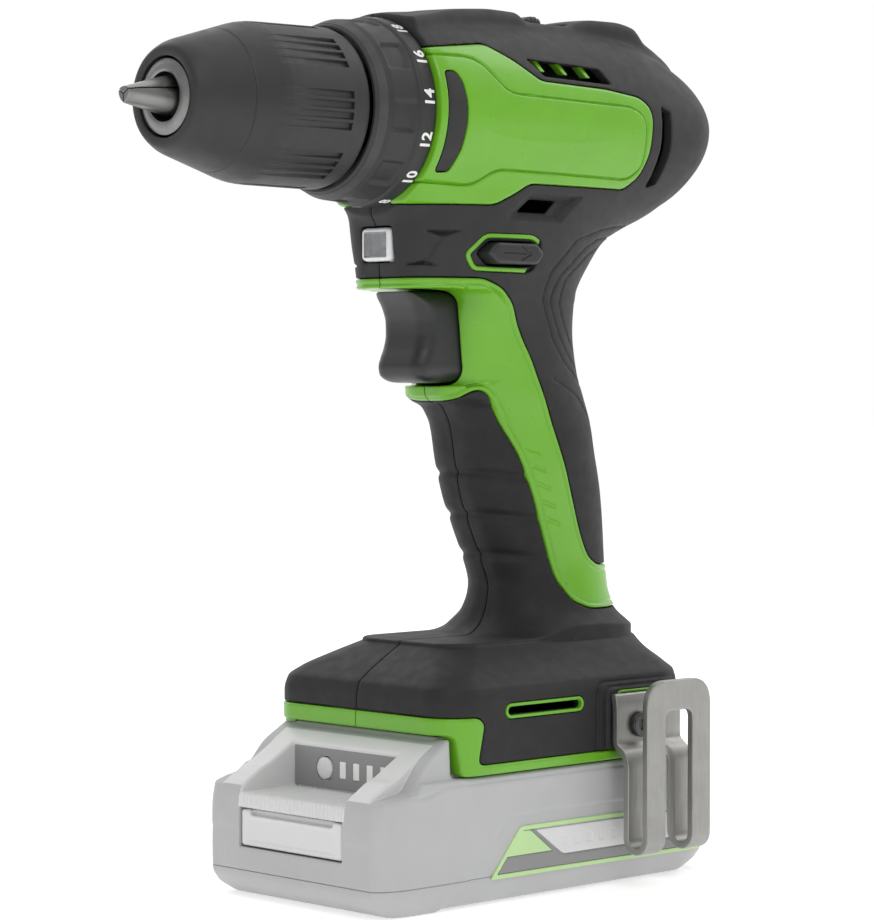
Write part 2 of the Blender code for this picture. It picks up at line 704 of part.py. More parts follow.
def gearbox_case():
    """The nose tube that carries the spindle bearing, and the drum round the ring gear."""
    return lift_to_spindle(turned("gearbox_case", (
        (-59.6, 9.4), (-59.6, 13.6), (-41.0, 13.6), (-41.0, 22.0), (-40.0, 22.8), (0.0, 22.8), (0.0, 21.2),
        (-36.0, 21.2), (-36.0, 12.4), (-44.4, 12.4), (-44.4, 9.4)), 28))


def bearing(name, x0, x1, inner, outer):
    """A ball bearing, as one ring with its shields recessed."""
    dish = 0.4
    waist = (outer - inner) * 0.25
    return lift_to_spindle(turned(name, (
        (x0, inner), (x0, inner + waist), (x0 + dish, inner + waist), (x0 + dish, outer - waist),
        (x0, outer - waist), (x0, outer), (x1, outer), (x1, outer - waist), (x1 - dish, outer - waist),
        (x1 - dish, inner + waist), (x1, inner + waist), (x1, inner)), 16))


# ---- motor ----

def motor_rotor():
    """The magnet drum on its shaft, with the sun pinion at the front."""
    pinion = prism("motor_rotor", gear_outline(SUN_TEETH, MODULE * SUN_TEETH / 2), "X",
                   GEAR_X[0] + 0.4, 1.0)
    shaft = turned("shaft", ((0.6, 0), (0.6, 2.5), (13, 2.5), (13, 11.5), (44, 11.5), (44, 2.5), (68, 2.5),
                             (68, 0)), 20)
    return set_pivot(lift_to_spindle(add(pinion, shaft)), 28, 0, SPINDLE_Z)


def motor_stator():
    """The laminated ring with six poles that reach in toward the rotor."""
    ring = turned("motor_stator", ((14, 19.2), (14, 22), (43, 22), (43, 19.2)), 30)
    for pole in range(6):
        stem = box("pole", 14, 43, -2.4, 2.4, 14.0, 20.5)
        shoe = box("shoe", 14, 43, -4.6, 4.6, 12.5, 14.4)
        add(stem, shoe)
        stem.data.transform(Matrix.Rotation(math.radians(60 * pole), 4, "X"))
        add(ring, stem)
    return lift_to_spindle(ring)


def stator_winding():
    """Six coils round the poles, joined by the connection ring at the rear."""
    ring = turned("stator_winding", ((45.6, 14.6), (45.6, 18.8), (47.6, 18.8), (47.6, 14.6)), 24)
    for pole in range(6):
        coil = box("coil", 11.4, 46.2, -4.2, 4.2, 14.8, 18.4)
        cut(coil, box("core", 13.7, 43.3, -2.7, 2.7, 10, 25))
        coil.data.transform(Matrix.Rotation(math.radians(60 * pole), 4, "X"))
        add(ring, coil)
    return lift_to_spindle(ring)


def motor_plate():
    """The front bell of the motor, which closes the gearbox."""
    return lift_to_spindle(turned("motor_plate", (
        (0.4, 6.2), (0.4, 22.6), (13.6, 22.6), (13.6, 20.4), (4, 20.4), (4, 6.2)), 28))


def cooling_fan():
    """A disc with nine upright vanes behind the rotor."""
    hub = turned("cooling_fan", ((56.4, 2.8), (56.4, 9), (58, 18), (59.2, 18), (59.2, 7), (64, 6),
                                 (64, 2.8)), 18)
    for blade in range(9):
        vane = box("vane", 58.6, 64, -0.7, 0.7, 5.0, 18.0)
        vane.data.transform(Matrix.Rotation(2 * math.pi * blade / 9, 4, "X"))
        add(hub, vane)
    return set_pivot(lift_to_spindle(hub), 60, 0, SPINDLE_Z)


# ---- controls ----

def speed_selector():
    """The two-speed slider in the top of the barrel."""
    knob = prism("speed_selector", ((9.4, 242.6), (9.4, 246.0), (10.4, 246.4), (11.6, 248.6), (17.4, 248.6),
                                    (18.6, 246.4), (20.4, 246.0), (20.4, 242.6)), "Y", -8.4, 8.4)
    return set_pivot(knob, 15, 0, 244)


def direction_lever():
    """The forward and reverse bar, pushed through from side to side."""
    bar = prism("direction_lever", LEVER_OUTLINE, "Y", -25.4, 25.4)
    return set_pivot(bar, -10, 0, LEVER_Z)


def trigger():
    """The finger trigger, hollow at the back for its spring."""
    blade = prism("trigger", TRIGGER_OUTLINE, "Y", -15, 15)
    combine(blade, prism("section", trigger_section(0), "X", -45, 0), "INTERSECT")
    cut(blade, rod("spring seat", (-21, 0, 158), (-5, 0, 158), 4.4, 20))
    edge = blade.modifiers.new("edge", "BEVEL")
    edge.width = 1.2 * MM
    edge.segments = 1
    edge.limit_method = "ANGLE"
    edge.angle_limit = math.radians(50)
    return set_pivot(blade, -20, 0, 158)


def switch_module():
    body = box("switch_module", SWITCH_FRONT, 17, -10.5, 10.5, 146, 169)
    add(body, box("terminal", 4, 14, -6, 6, 140, 148))
    return body


def led_lens():
    """The clear window of the work light, seated in the front of the neck."""
    lens = box("led_lens", -40.4, -33.2, -6, 6, 176.8, 186.4)
    edge = lens.modifiers.new("edge", "BEVEL")
    edge.width = 0.8 * MM
    edge.segments = 2
    return lens


def controller_board():
    return box("controller_board", -24, 14, -15, 15, 59.4, 61.6)


def wiring_harness():
    """The bundle of leads from the terminal block up the grip to the switch."""
    knots = [Vector(p) for p in ((33, 0, 57.6), (33, 0, 68), (33, 0, 84), (31, 0, 104), (24, 0, 117),
                                 (14, 0, 128), (9, 0, 138.8))]
    path = []
    for i in range(len(knots) - 1):
        before, after = knots[max(i - 1, 0)], knots[min(i + 2, len(knots) - 1)]
        a, b = knots[i], knots[i + 1]
        for step in range(2):
            t = step / 2
            path.append(0.5 * (2 * a + (b - before) * t + (2 * before - 5 * a + 4 * b - after) * t ** 2
                               + (3 * a - before - 3 * b + after) * t ** 3))
    path.append(knots[-1])
    return tube_along("wiring_harness", path, 2.2, 6)


def terminal_block():
    """The moulded block in the foot, with three contact blades that reach forward."""
    block = box("terminal_block", 31, 45, -13, 13, 43.8, 57.2)
    for y in (-8, 0, 8):
        add(block, box("blade", 20, 33, y - 0.5, y + 0.5, 39.6, 45.2))
    return block


# ---- clip and screws ----

def belt_clip():
    """A sheet steel hook: base plate, double bend, and an outer tongue with a long slot."""
    t = 1.0
    middle = [(-39.9, 52.4), (-39.9, 41.0)]
    middle += [(-41.9 + 2.0 * math.cos(a), 41.0 - 2.0 * math.sin(a)) for a in (0.5, 1.0)]
    middle += [(-43.4, 37.6), (-44.2, 35.6)]
    middle += [(-44.2, 14.6)]
    middle += [(-47.8 + 3.6 * math.cos(a), 14.6 - 3.6 * math.sin(a)) for a in
               (math.pi * s / 6 for s in range(1, 6))]
    middle += [(-51.4, 14.6), (-51.4, 57.6)]
    outer, inner = [], []
    for i, point in enumerate(middle):
        ahead = Vector(middle[min(i + 1, len(middle) - 1)]) - Vector(middle[max(i - 1, 0)])
        side = Vector((ahead.y, -ahead.x)).normalized() * t
        outer.append(tuple(Vector(point) + side))
        inner.append(tuple(Vector(point) - side))
    sheet = prism("belt_clip", outer + inner[::-1], "X", 15.1, 41.9)
    cut(sheet, box("slot", 22.9, 34.1, -60, -42.8, 0, 50.5),
        rod("hole", (24, -50, 46), (24, -30, 46), 2.0, 12))
    return sheet


def belt_clip_screw():
    head = rod("head", (24, -41.2, 46), (24, -42.9, 46), 3.6, 16)
    return add(head, rod("shank", (24, -42, 46), (24, -34.4, 46), 1.5, 10))


def housing_screw(number):
    x, z, half = SCREWS[number - 1]
    seat = half - 6
    head = rod("head", (x, seat + 0.2, z), (x, seat + 2.4, z), 2.5, 12)
    add(head, rod("shank", (x, -half + 5.4, z), (x, seat + 1, z), 1.4, 8))
    return cut(head, rod("drive", (x, seat + 1.4, z), (x, seat + 6, z), 1.1, 6))


# ---- battery pack ----

def pack_form(name, inset, low, high):
    """The pack's outside between two levels."""
    sections = ((0, -65, 55), (3, -70, 60.5), (6, -71.8, 63), (PACK_SPLIT, PACK_FRONT, PACK_REAR),
                (14, PACK_FRONT, PACK_REAR), (22, -72.2, 63.6), (27, -72, 59.4), (30, -71.4, 59.2),
                (33.6, -66.8, 58.8), (PACK_SHOULDER, -63.4, 57.6))
    half_widths = (34, 36.2, 37, PACK_HALF_WIDTH, PACK_HALF_WIDTH, PACK_HALF_WIDTH, 37.4, 37.3, 37.2, 36)
    rings = []
    for (z, front, rear), half in zip(sections, half_widths):
        if low <= z <= high:
            rings.append(plan_ring(z, front + inset, 31.5, -60, half - inset, 50, rear - inset, 24, 2.2))
    return loft(name, rings)


def battery_tray():
    tray = pack_form("battery_tray", 0, 0, PACK_SPLIT)
    return cut(tray, box("cell bay", -54.6, 60.4, -33.4, 33.4, 2.2, 30),
               box("latch bay", -66, -56, -24, 24, 2.2, 30))


def battery_cover():
    """The top moulding: shoulders, front cheeks, and the tower that slides into the foot."""
    cover = pack_form("battery_cover", 0, PACK_SPLIT, 40)
    cut(cover, box("split gap", -80, 80, -50, 50, 5, PACK_SPLIT + GAP))
    tower = prism("tower", ((-44.6, -27.5), (-40, -31), (-37, -33), (43.4, -33), (43.4, 33), (-37, 33),
                            (-40, 31), (-44.6, 27.5)), "Z", 30, TOWER_TOP)
    cheek_side = ((-69.6, 29), (-69.6, 31.6), (-44.2, 46.3), (-43.9, 46.3), (-43.9, 29))
    cheeks = prism("cheeks", cheek_side, "Y", -34.6, 34.6)
    add(cover, cheeks, tower)
    for side in (-1, 1):
        low, high = sorted((side * 30.6, side * 40))
        cut(cover, box("rail groove", -41.5, 60, low, high, 39.6, 43.8))
    cut(cover, box("shoulder trim", -41.5, 60, 33.3, 40, 36, 39.7),
        box("latch shelf", -80, -47.6, -21.8, 21.8, 29.6, 60),
        box("latch opening", -80, -60, -21.2, 21.2, 14.3, 25.3),
        box("cell bay", -54.6, 56.4, -33.4, 33.4, 5, 27.4),
        box("latch bay", -66.2, -50, -23.6, 23.6, 5, 27.4),
        box("tower bay", -41, 15, -28, 28, 20, 44.6),
        box("terminal notch", 17.2, 60, -15.5, 15.5, 37.6, 60),
        box("button hole", -50, -40, GAUGE_Y - 3.2, GAUGE_Y + 3.2, GAUGE_Z - 3.2, GAUGE_Z + 3.2))
    return cover


def battery_latch():
    """The release block in the front of the pack."""
    block = box("battery_latch", -71.9, -61.4, -20.8, 20.8, 14.6, 25.0)
    cut(block, box("finger step", -75, -70.4, -17, 17, 23, 30))
    return set_pivot(block, -66, 0, 20)


def latch_spring():
    return spring("latch_spring", (-61.0, 0, 19.6), -55.0, 2.6, 0.5, 4, 8)


def gauge_button():
    button = rod("gauge_button", (-48.6, GAUGE_Y, GAUGE_Z), (-44.6, GAUGE_Y, GAUGE_Z), 2.8, 20)
    return set_pivot(button, -47, GAUGE_Y, GAUGE_Z)


def battery_board():
    """The pack's circuit board under the tower, with its three contact clips."""
    board = box("battery_board", -38, 14, -26, 26, 33.8, 35.4)
    for y in (-8, 0, 8):
        add(board, box("clip", 6, 13.4, y - 1.4, y + 1.4, 34.6, 41))
    return board


def cell(number):
    x = CELL_FIRST_X + CELL_PITCH * (number - 1)
    return rod("cell", (x, -CELL_LENGTH / 2, CELL_Z), (x, CELL_LENGTH / 2, CELL_Z), CELL_RADIUS, 18)


def chuck_and_clutch(steel, plastic):
    finish(chuck_body(), "chuck_body", steel)
    for number in range(1, 4):
        finish(jaw(number), f"jaw_{number}", steel)
    finish(chuck_sleeve(), "chuck_sleeve", plastic)
    finish(chuck_nut(), "chuck_nut", steel)
    finish(chuck_screw(), "chuck_screw", steel)
    finish(torque_collar(), "torque_collar", plastic)
    finish(clutch_nut(), "clutch_nut", steel)
    finish(clutch_spring(), "clutch_spring", steel, 60)


def drive(steel, plastic, copper, iron):
    finish(gearbox_case(), "gearbox_case", plastic)
    finish(ring_gear(), "ring_gear", steel)
    finish(planet_carrier(), "planet_carrier", steel)
    for number in range(1, 4):
        finish(planet(number), f"planet_{number}", steel)
    finish(bearing("spindle_bearing", -59, -45, 7.4, 9.1), "spindle_bearing", steel)
    finish(motor_rotor(), "motor_rotor", iron)
    finish(motor_stator(), "motor_stator", iron)
    finish(stator_winding(), "stator_winding", copper)
    finish(motor_plate(), "motor_plate", plastic)
    finish(bearing("rear_bearing", 49, 54, 2.56, 7.5), "rear_bearing", steel)
    finish(cooling_fan(), "cooling_fan", plastic)


def controls(plastic, clear, board_green, copper, sheet, steel):
    finish(speed_selector(), "speed_selector", plastic)
    finish(direction_lever(), "direction_lever", plastic)
    finish(trigger(), "trigger", plastic)
    coil = spring("trigger_spring", (-20.7, 0, 158), SWITCH_FRONT - GAP, 3.2, 0.5, 6, 8)
    finish(coil, "trigger_spring", steel, 60)
    finish(switch_module(), "switch_module", plastic)
    finish(led_lens(), "led_lens", clear)
    finish(controller_board(), "controller_board", board_green)
    finish(wiring_harness(), "wiring_harness", copper)
    finish(terminal_block(), "terminal_block", plastic)
    finish(belt_clip(), "belt_clip", sheet)
    finish(belt_clip_screw(), "belt_clip_screw", steel)
    for number in range(1, len(SCREWS) + 1):
        finish(housing_screw(number), f"housing_screw_{number}", steel)


def battery(pale, steel, board_green, wrap):
    finish(battery_tray(), "battery_tray", pale)
    finish(battery_cover(), "battery_cover", pale)
    finish(battery_latch(), "battery_latch", pale)
    finish(latch_spring(), "latch_spring", steel, 60)
    finish(gauge_button(), "gauge_button", pale)
    finish(battery_board(), "battery_board", board_green)
    for number in range(1, 7):
        finish(cell(number), f"cell_{number}", wrap)


def build():
    clear_scene()
    plastic = make_material("charcoal", (0.045, 0.045, 0.047), 0.62)
    gloss = make_material("green", (0.19, 0.48, 0.045), 0.25)
    steel = make_material("steel", (0.42, 0.42, 0.42), 0.35, 1.0)
    sheet = make_material("sheet steel", (0.35, 0.35, 0.34), 0.5, 0.8)
    iron = make_material("iron", (0.2, 0.2, 0.2), 0.5, 1.0)
    copper = make_material("copper", (0.6, 0.28, 0.12), 0.4, 0.9)
    clear = make_material("clear", (0.75, 0.76, 0.76), 0.15)
    board_green = make_material("board", (0.03, 0.2, 0.08), 0.5)
    pale = make_material("pale", (0.55, 0.55, 0.55), 0.45)
    wrap = make_material("cell wrap", (0.1, 0.3, 0.5), 0.4)
    chuck_and_clutch(steel, plastic)
    drive(steel, plastic, copper, iron)
    controls(plastic, clear, board_green, copper, sheet, steel)
    battery(pale, steel, board_green, wrap)
    housings(plastic, gloss)


build()
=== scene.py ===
import math

import bmesh
import bpy
import numpy as np
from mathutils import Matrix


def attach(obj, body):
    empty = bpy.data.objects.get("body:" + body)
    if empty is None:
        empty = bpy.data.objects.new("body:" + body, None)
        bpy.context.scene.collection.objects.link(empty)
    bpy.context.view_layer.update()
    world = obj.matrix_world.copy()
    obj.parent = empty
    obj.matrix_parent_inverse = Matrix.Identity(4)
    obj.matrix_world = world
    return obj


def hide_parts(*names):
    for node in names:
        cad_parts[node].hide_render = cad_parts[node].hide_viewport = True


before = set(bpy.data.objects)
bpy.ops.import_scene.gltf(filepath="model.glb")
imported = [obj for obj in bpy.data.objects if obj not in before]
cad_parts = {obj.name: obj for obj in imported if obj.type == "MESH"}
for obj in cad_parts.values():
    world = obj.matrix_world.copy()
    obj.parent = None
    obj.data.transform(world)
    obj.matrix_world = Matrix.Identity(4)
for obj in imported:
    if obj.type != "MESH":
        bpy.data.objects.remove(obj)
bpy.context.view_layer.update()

import openvdb
from mathutils import Matrix, Vector

# Cordless drill driver. Numbers are millimetres: +X is the rear and -X the way the chuck points,
# +Z is up, y = 0 is the mid-plane. Left is -Y, the side with the belt clip. A field that takes y above
# 0 only is drawn for the right side, and flip makes the left one.

MM = 0.001
SPINDLE_Z = 218.0
WALL = 3.4                  # thickness of the housing shell
FLOOR = 1.8                 # depth of the pockets that take the gloss panels
SKIN = 1.5                  # depth of a gloss panel's underside
PROUD = 0.25                # how far a gloss panel stands out
GAP = 0.3                   # clearance between neighbouring pieces
SIDES = (("left", -1), ("right", 1))


# ---- numbers and fields: a field is a signed distance in mm, negative inside ----

def curve(t, knots):
    """A smooth curve through (t, value) knots that never overshoots them."""
    places, values = np.array(knots, float).T
    gap = np.diff(places)
    rise = np.diff(values) / gap
    slope = np.empty(len(places))
    slope[0], slope[-1] = rise[0], rise[-1]
    for i in range(1, len(places) - 1):
        a, b = rise[i - 1], rise[i]
        p, q = 2 * gap[i] + gap[i - 1], gap[i] + 2 * gap[i - 1]
        slope[i] = (p + q) / (p / a + q / b) if a * b > 0 else 0.0
    t = np.clip(t, places[0], places[-1])
    i = np.clip(np.searchsorted(places, t, "right") - 1, 0, len(places) - 2)
    h = gap[i]
    s = (t - places[i]) / h
    r = 1 - s
    made = (values[i] * r * r * (1 + 2 * s) + values[i + 1] * s * s * (3 - 2 * s)
            + h * s * r * (slope[i] * r - slope[i + 1] * s))
    return made.astype(np.asarray(t).dtype)


def smin(a, b, r):
    """Union of two fields with a fillet of about r."""
    h = np.maximum(r - np.abs(a - b), 0)
    return np.minimum(a, b) - h * h / (4 * r)


def smax(a, b, r):
    """Intersection of two fields with a rounded edge of about r."""
    h = np.maximum(r - np.abs(a - b), 0)
    return np.maximum(a, b) + h * h / (4 * r)


def oval(u, v, a, b):
    """Distance from an ellipse of half sizes a and b, for u and v above 0."""
    su, sv = u / a, v / b
    k = np.sqrt(su * su + sv * sv)
    g = np.sqrt((su / a) ** 2 + (sv / b) ** 2)
    d = (k - 1) * k / np.maximum(g, 1e-6)
    return np.where(k > 0.25, d, -0.8 * np.minimum(a, b))


def brick(x, y, z, low, high, r=0.5):
    """A box between two corners with rounded edges."""
    d = [np.maximum(lo - p, p - hi) for p, lo, hi in zip((x, y, z), low, high)]
    return smax(smax(d[0], d[1], r), d[2], r)


def capsule(u, v, u0, v0, half_length, radius):
    """A slot with round ends, along u."""
    return np.hypot(np.maximum(np.abs(u - u0) - half_length, 0), v - v0) - radius


def trough(distance, width, depth):
    """How deep a soft groove is at a distance from its middle."""
    return depth * np.exp(-(distance / width) ** 2)


def step_down(distance, width):
    """From 1 well inside a boundary to 0 outside it, over a width."""
    s = np.clip(0.5 - distance / width, 0, 1)
    return s * s * (3 - 2 * s)


def eased(points, radius, closed=True):
    """Rounds the corners of an outline."""
    made = []
    count = len(points)
    for i, p in enumerate(points):
        p = np.array(p, float)
        if not closed and i in (0, count - 1):
            made.append(tuple(p))
            continue
        a = np.array(points[i - 1], float) - p
        b = np.array(points[(i + 1) % count], float) - p
        a *= min(radius / np.hypot(*a), 0.45)
        b *= min(radius / np.hypot(*b), 0.45)
        for t in (0, 0.25, 0.5, 0.75, 1):
            made.append(tuple(p + a * (1 - t) ** 2 + b * t * t))
    return made


class Stencil:
    """Distance from an outline or a line in a plane, kept as a fine map and read back from it."""
    STEP = 0.2

    def __init__(self, points, radius=1.0, closed=True, margin=7.0):
        points = eased(points, radius, closed)
        low = np.min(points, 0) - margin
        self.low = low
        size = np.ceil((np.max(points, 0) + margin - low) / self.STEP).astype(int) + 1
        u = (low[0] + self.STEP * np.arange(size[0]))[:, None]
        v = (low[1] + self.STEP * np.arange(size[1]))[None, :]
        best = np.full((size[0], size[1]), 1e9)
        inside = np.zeros(best.shape, bool)
        ends = points[1:] + points[:1] if closed else points[1:]
        for (ax, az), (bx, bz) in zip(points, ends):
            ex, ez = bx - ax, bz - az
            wx, wz = u - ax, v - az
            t = np.clip((wx * ex + wz * ez) / max(ex * ex + ez * ez, 1e-9), 0, 1)
            best = np.minimum(best, (wx - ex * t) ** 2 + (wz - ez * t) ** 2)
            if closed:
                left = wx * ez < wz * ex if ez > 0 else wx * ez > wz * ex
                inside ^= ((az > v) != (bz > v)) & left
        best = np.sqrt(best)
        self.map = np.where(inside, -best, best).astype(np.float32)

    def __call__(self, u, v):
        fu = np.clip((u - self.low[0]) / self.STEP, 0, self.map.shape[0] - 1.001)
        fv = np.clip((v - self.low[1]) / self.STEP, 0, self.map.shape[1] - 1.001)
        i, j = fu.astype(int), fv.astype(int)
        s, t = fu - i, fv - j
        m = self.map
        return ((m[i, j] * (1 - s) + m[i + 1, j] * s) * (1 - t)
                + (m[i, j + 1] * (1 - s) + m[i + 1, j + 1] * s) * t)


# ---- meshes ----

def mesh_object(name, points, faces, material, angle=35.0):
    """An object from points in mm and an array of triangles or quads."""
    mesh = bpy.data.meshes.new(name)
    faces = [np.asarray(f, np.int32) for f in faces if len(f)]
    sizes = np.concatenate([np.full(len(f), f.shape[1], np.int32) for f in faces])
    corners = np.concatenate([f.ravel() for f in faces])
    mesh.vertices.add(len(points))
    mesh.vertices.foreach_set("co", (np.asarray(points, np.float32) * MM).ravel())
    mesh.loops.add(len(corners))
    mesh.loops.foreach_set("vertex_index", corners)
    mesh.polygons.add(len(sizes))
    mesh.polygons.foreach_set("loop_start", np.concatenate(([0], np.cumsum(sizes)[:-1])).astype(np.int32))
    mesh.update(calc_edges=True)
    mesh.validate()
    made = bpy.data.objects.new(name, mesh)
    bpy.context.scene.collection.objects.link(made)
    if material:
        mesh.materials.append(material)
    mesh.shade_smooth()
    mesh.set_sharp_from_angle(angle=math.radians(angle))
    return made


def volume_sign(points, faces):
    total = 0.0
    for f in faces:
        for a, b, c in ((0, 1, 2), (0, 2, 3))[:f.shape[1] - 2]:
            total += np.einsum("ij,ij->i", points[f[:, a]], np.cross(points[f[:, b]], points[f[:, c]])).sum()
    return 1 if total > 0 else -1


def settle(points, field, step):
    """Moves mesh points the last fraction of a step on to the field's own surface."""
    points = points.astype(float)
    h = 0.02
    for _ in range(2):
        x, y, z = points.T
        d = field(x, y, z)
        slope = np.stack((field(x + h, y, z) - d, field(x, y + h, z) - d, field(x, y, z + h) - d), 1) / h
        size = (slope * slope).sum(1)
        move = np.clip(d / np.maximum(size, 0.2), -0.6 * step, 0.6 * step)
        points -= slope * move[:, None]
    return points


def solid(name, field, low, high, step, material, flip=False, angle=35.0):
    """The surface of a field inside a box, as an object. flip mirrors it to the other side."""
    axes = [np.arange(lo, hi + step, step, dtype=np.float32) for lo, hi in zip(low, high)]
    x, y, z = axes[0][:, None, None], axes[1][None, :, None], axes[2][None, None, :]
    band = 3 * step
    values = np.broadcast_to(field(x, y, z), (len(axes[0]), len(axes[1]), len(axes[2])))
    grid = openvdb.FloatGrid(band)
    grid.copyFromArray(np.ascontiguousarray(np.clip(values, -band, band), dtype=np.float32))
    points, triangles, quads = grid.convertToPolygons(isovalue=0.0, adaptivity=0.0)
    points = settle(points * step + np.array(low), field, step)
    faces = [f.astype(np.int64) for f in (triangles, quads) if len(f)]
    if flip:
        points[:, 1] *= -1
    if volume_sign(points, faces) < 0:
        faces = [f[:, ::-1] for f in faces]
    return mesh_object(name, points, faces, material, angle)


def turned(name, profile, material, steps=96, cut=None, closed=True, angle=35.0, centre=(0, SPINDLE_Z)):
    """Turns an (x, r) profile round the spindle. cut(x, angle) is how deep a place is sunk."""
    profile = np.array(profile, float)
    turn = 2 * math.pi * np.arange(steps) / steps
    x = np.broadcast_to(profile[:, :1], (len(profile), steps))
    r = np.broadcast_to(profile[:, 1:], x.shape)
    if cut:
        r = r - cut(x, r, np.broadcast_to(turn, x.shape))
    points = np.stack((x, centre[0] - r * np.cos(turn), centre[1] + r * np.sin(turn)), -1).reshape(-1, 3)
    rows = len(profile)
    i = np.arange(rows if closed else rows - 1)[:, None]
    j = np.arange(steps)[None, :]
    k, l = (i + 1) % rows, (j + 1) % steps
    faces = np.stack(np.broadcast_arrays(i * steps + j, k * steps + j, k * steps + l, i * steps + l),
                     -1).reshape(-1, 4)
    if volume_sign(points, [faces]) < 0:
        faces = faces[:, ::-1]
    return mesh_object(name, points, [faces], material, angle)


def dense(profile, longest, closed=True):
    """Adds points along a profile so that no stretch is longer than a length."""
    made = []
    ends = profile[1:] + profile[:1] if closed else profile[1:]
    for a, b in zip(profile, ends):
        parts = max(1, math.ceil(math.dist(a, b) / longest))
        made += [(a[0] + (b[0] - a[0]) * k / parts, a[1] + (b[1] - a[1]) * k / parts) for k in range(parts)]
    if not closed:
        made.append(profile[-1])
    return made


def second_finish(made, material, where):
    """Gives a second material to the faces whose middles lie where a test on x, y, z says."""
    mesh = made.data
    middles = np.empty(3 * len(mesh.polygons), np.float32)
    mesh.polygons.foreach_get("center", middles)
    x, y, z = middles.reshape(-1, 3).T / MM
    mesh.materials.append(material)
    mesh.polygons.foreach_set("material_index", where(x, y, z).astype(np.int32))
    return made


def boolean(base, tool, operation):
    change = base.modifiers.new("combine", "BOOLEAN")
    change.operation = operation
    change.solver = "MANIFOLD"
    change.object = tool
    graph = bpy.context.evaluated_depsgraph_get()
    mesh = bpy.data.meshes.new_from_object(base.evaluated_get(graph))
    base.modifiers.clear()
    base.data = mesh
    bpy.data.objects.remove(tool, do_unlink=True)
    mesh.shade_smooth()
    mesh.set_sharp_from_angle(angle=math.radians(30))
    return base


def place(made, body, slot, *nodes):
    """Says which body a piece rides on and which CAD nodes it stands for. The slot argument is not used."""
    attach(made, body)
    if nodes:
        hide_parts(*nodes)
    return made


# ---- materials ----

def srgb(*values):
    return tuple(((v / 255 + 0.055) / 1.055) ** 2.4 if v > 10 else v / 255 / 12.92 for v in values)


class Finish:
    """A material whose colour, roughness and bump are built up from noise on the object."""

    def __init__(self, name, metallic=0.0, specular=0.5, coat=0.0, coat_roughness=0.1, ior=1.5):
        self.material = bpy.data.materials.new(name)
        self.material.use_nodes = True
        self.tree = self.material.node_tree
        self.shader = self.tree.nodes["Principled BSDF"]
        self.set("Metallic", metallic)
        self.set("Specular IOR Level", specular)
        self.set("Coat Weight", coat)
        self.set("Coat Roughness", coat_roughness)
        self.set("IOR", ior)
        self.place = self.tree.nodes.new("ShaderNodeTexCoord").outputs["Object"]
        self.bump = None

    def set(self, socket, value):
        self.shader.inputs[socket].default_value = value

    def link(self, a, b):
        self.tree.links.new(a, b)

    def noise(self, scale, detail=2.0, stretch=None, rough=0.5):
        """Noise with about scale bumps to the metre, drawn out along an axis by stretch."""
        node = self.tree.nodes.new("ShaderNodeTexNoise")
        node.inputs["Scale"].default_value = scale
        node.inputs["Detail"].default_value = detail
        node.inputs["Roughness"].default_value = rough
        source = self.place
        if stretch:
            mapping = self.tree.nodes.new("ShaderNodeMapping")
            mapping.inputs["Scale"].default_value = stretch
            self.link(source, mapping.inputs["Vector"])
            source = mapping.outputs["Vector"]
        self.link(source, node.inputs["Vector"])
        return node.outputs["Fac"]

    def range(self, source, low, high, start=0.3, end=0.7):
        node = self.tree.nodes.new("ShaderNodeMapRange")
        node.inputs["From Min"].default_value = start
        node.inputs["From Max"].default_value = end
        node.inputs["To Min"].default_value = low
        node.inputs["To Max"].default_value = high
        self.link(source, node.inputs["Value"])
        return node.outputs["Result"]

    def colour(self, source, first, second, start=0.3, end=0.7):
        """Colour that runs from first to second with the noise."""
        ramp = self.tree.nodes.new("ShaderNodeValToRGB")
        ramp.color_ramp.elements[0].position = start
        ramp.color_ramp.elements[1].position = end
        ramp.color_ramp.elements[0].color = (*first, 1)
        ramp.color_ramp.elements[1].color = (*second, 1)
        self.link(source, ramp.inputs["Fac"])
        self.link(ramp.outputs["Color"], self.shader.inputs["Base Color"])
        return self

    def roughness(self, source, low, high, start=0.3, end=0.7):
        self.link(self.range(source, low, high, start, end), self.shader.inputs["Roughness"])
        return self

    def relief(self, source, strength, distance):
        """Adds one layer of bump, distance in mm."""
        node = self.tree.nodes.new("ShaderNodeBump")
        node.inputs["Strength"].default_value = strength
        node.inputs["Distance"].default_value = distance * MM
        self.link(source, node.inputs["Height"])
        if self.bump:
            self.link(self.bump, node.inputs["Normal"])
        self.bump = node.outputs["Normal"]
        self.link(self.bump, self.shader.inputs["Normal"])
        return self


def moulded(name, tone, rough, grain, depth, spread=0.05, specular=0.5, coat=0.0):
    """Moulded plastic: a tone with slight cloudiness, a grain of so many bumps to the metre."""
    made = Finish(name, specular=specular, coat=coat, coat_roughness=0.12)
    low = tuple(c * (1 - spread) for c in tone)
    high = tuple(min(c * (1 + spread), 1) for c in tone)
    made.colour(made.noise(90, 3), low, high)
    made.roughness(made.noise(260, 3), rough - 0.05, rough + 0.05)
    if depth:
        made.relief(made.noise(grain, 2, rough=0.6), 0.5, depth)
    return made.material


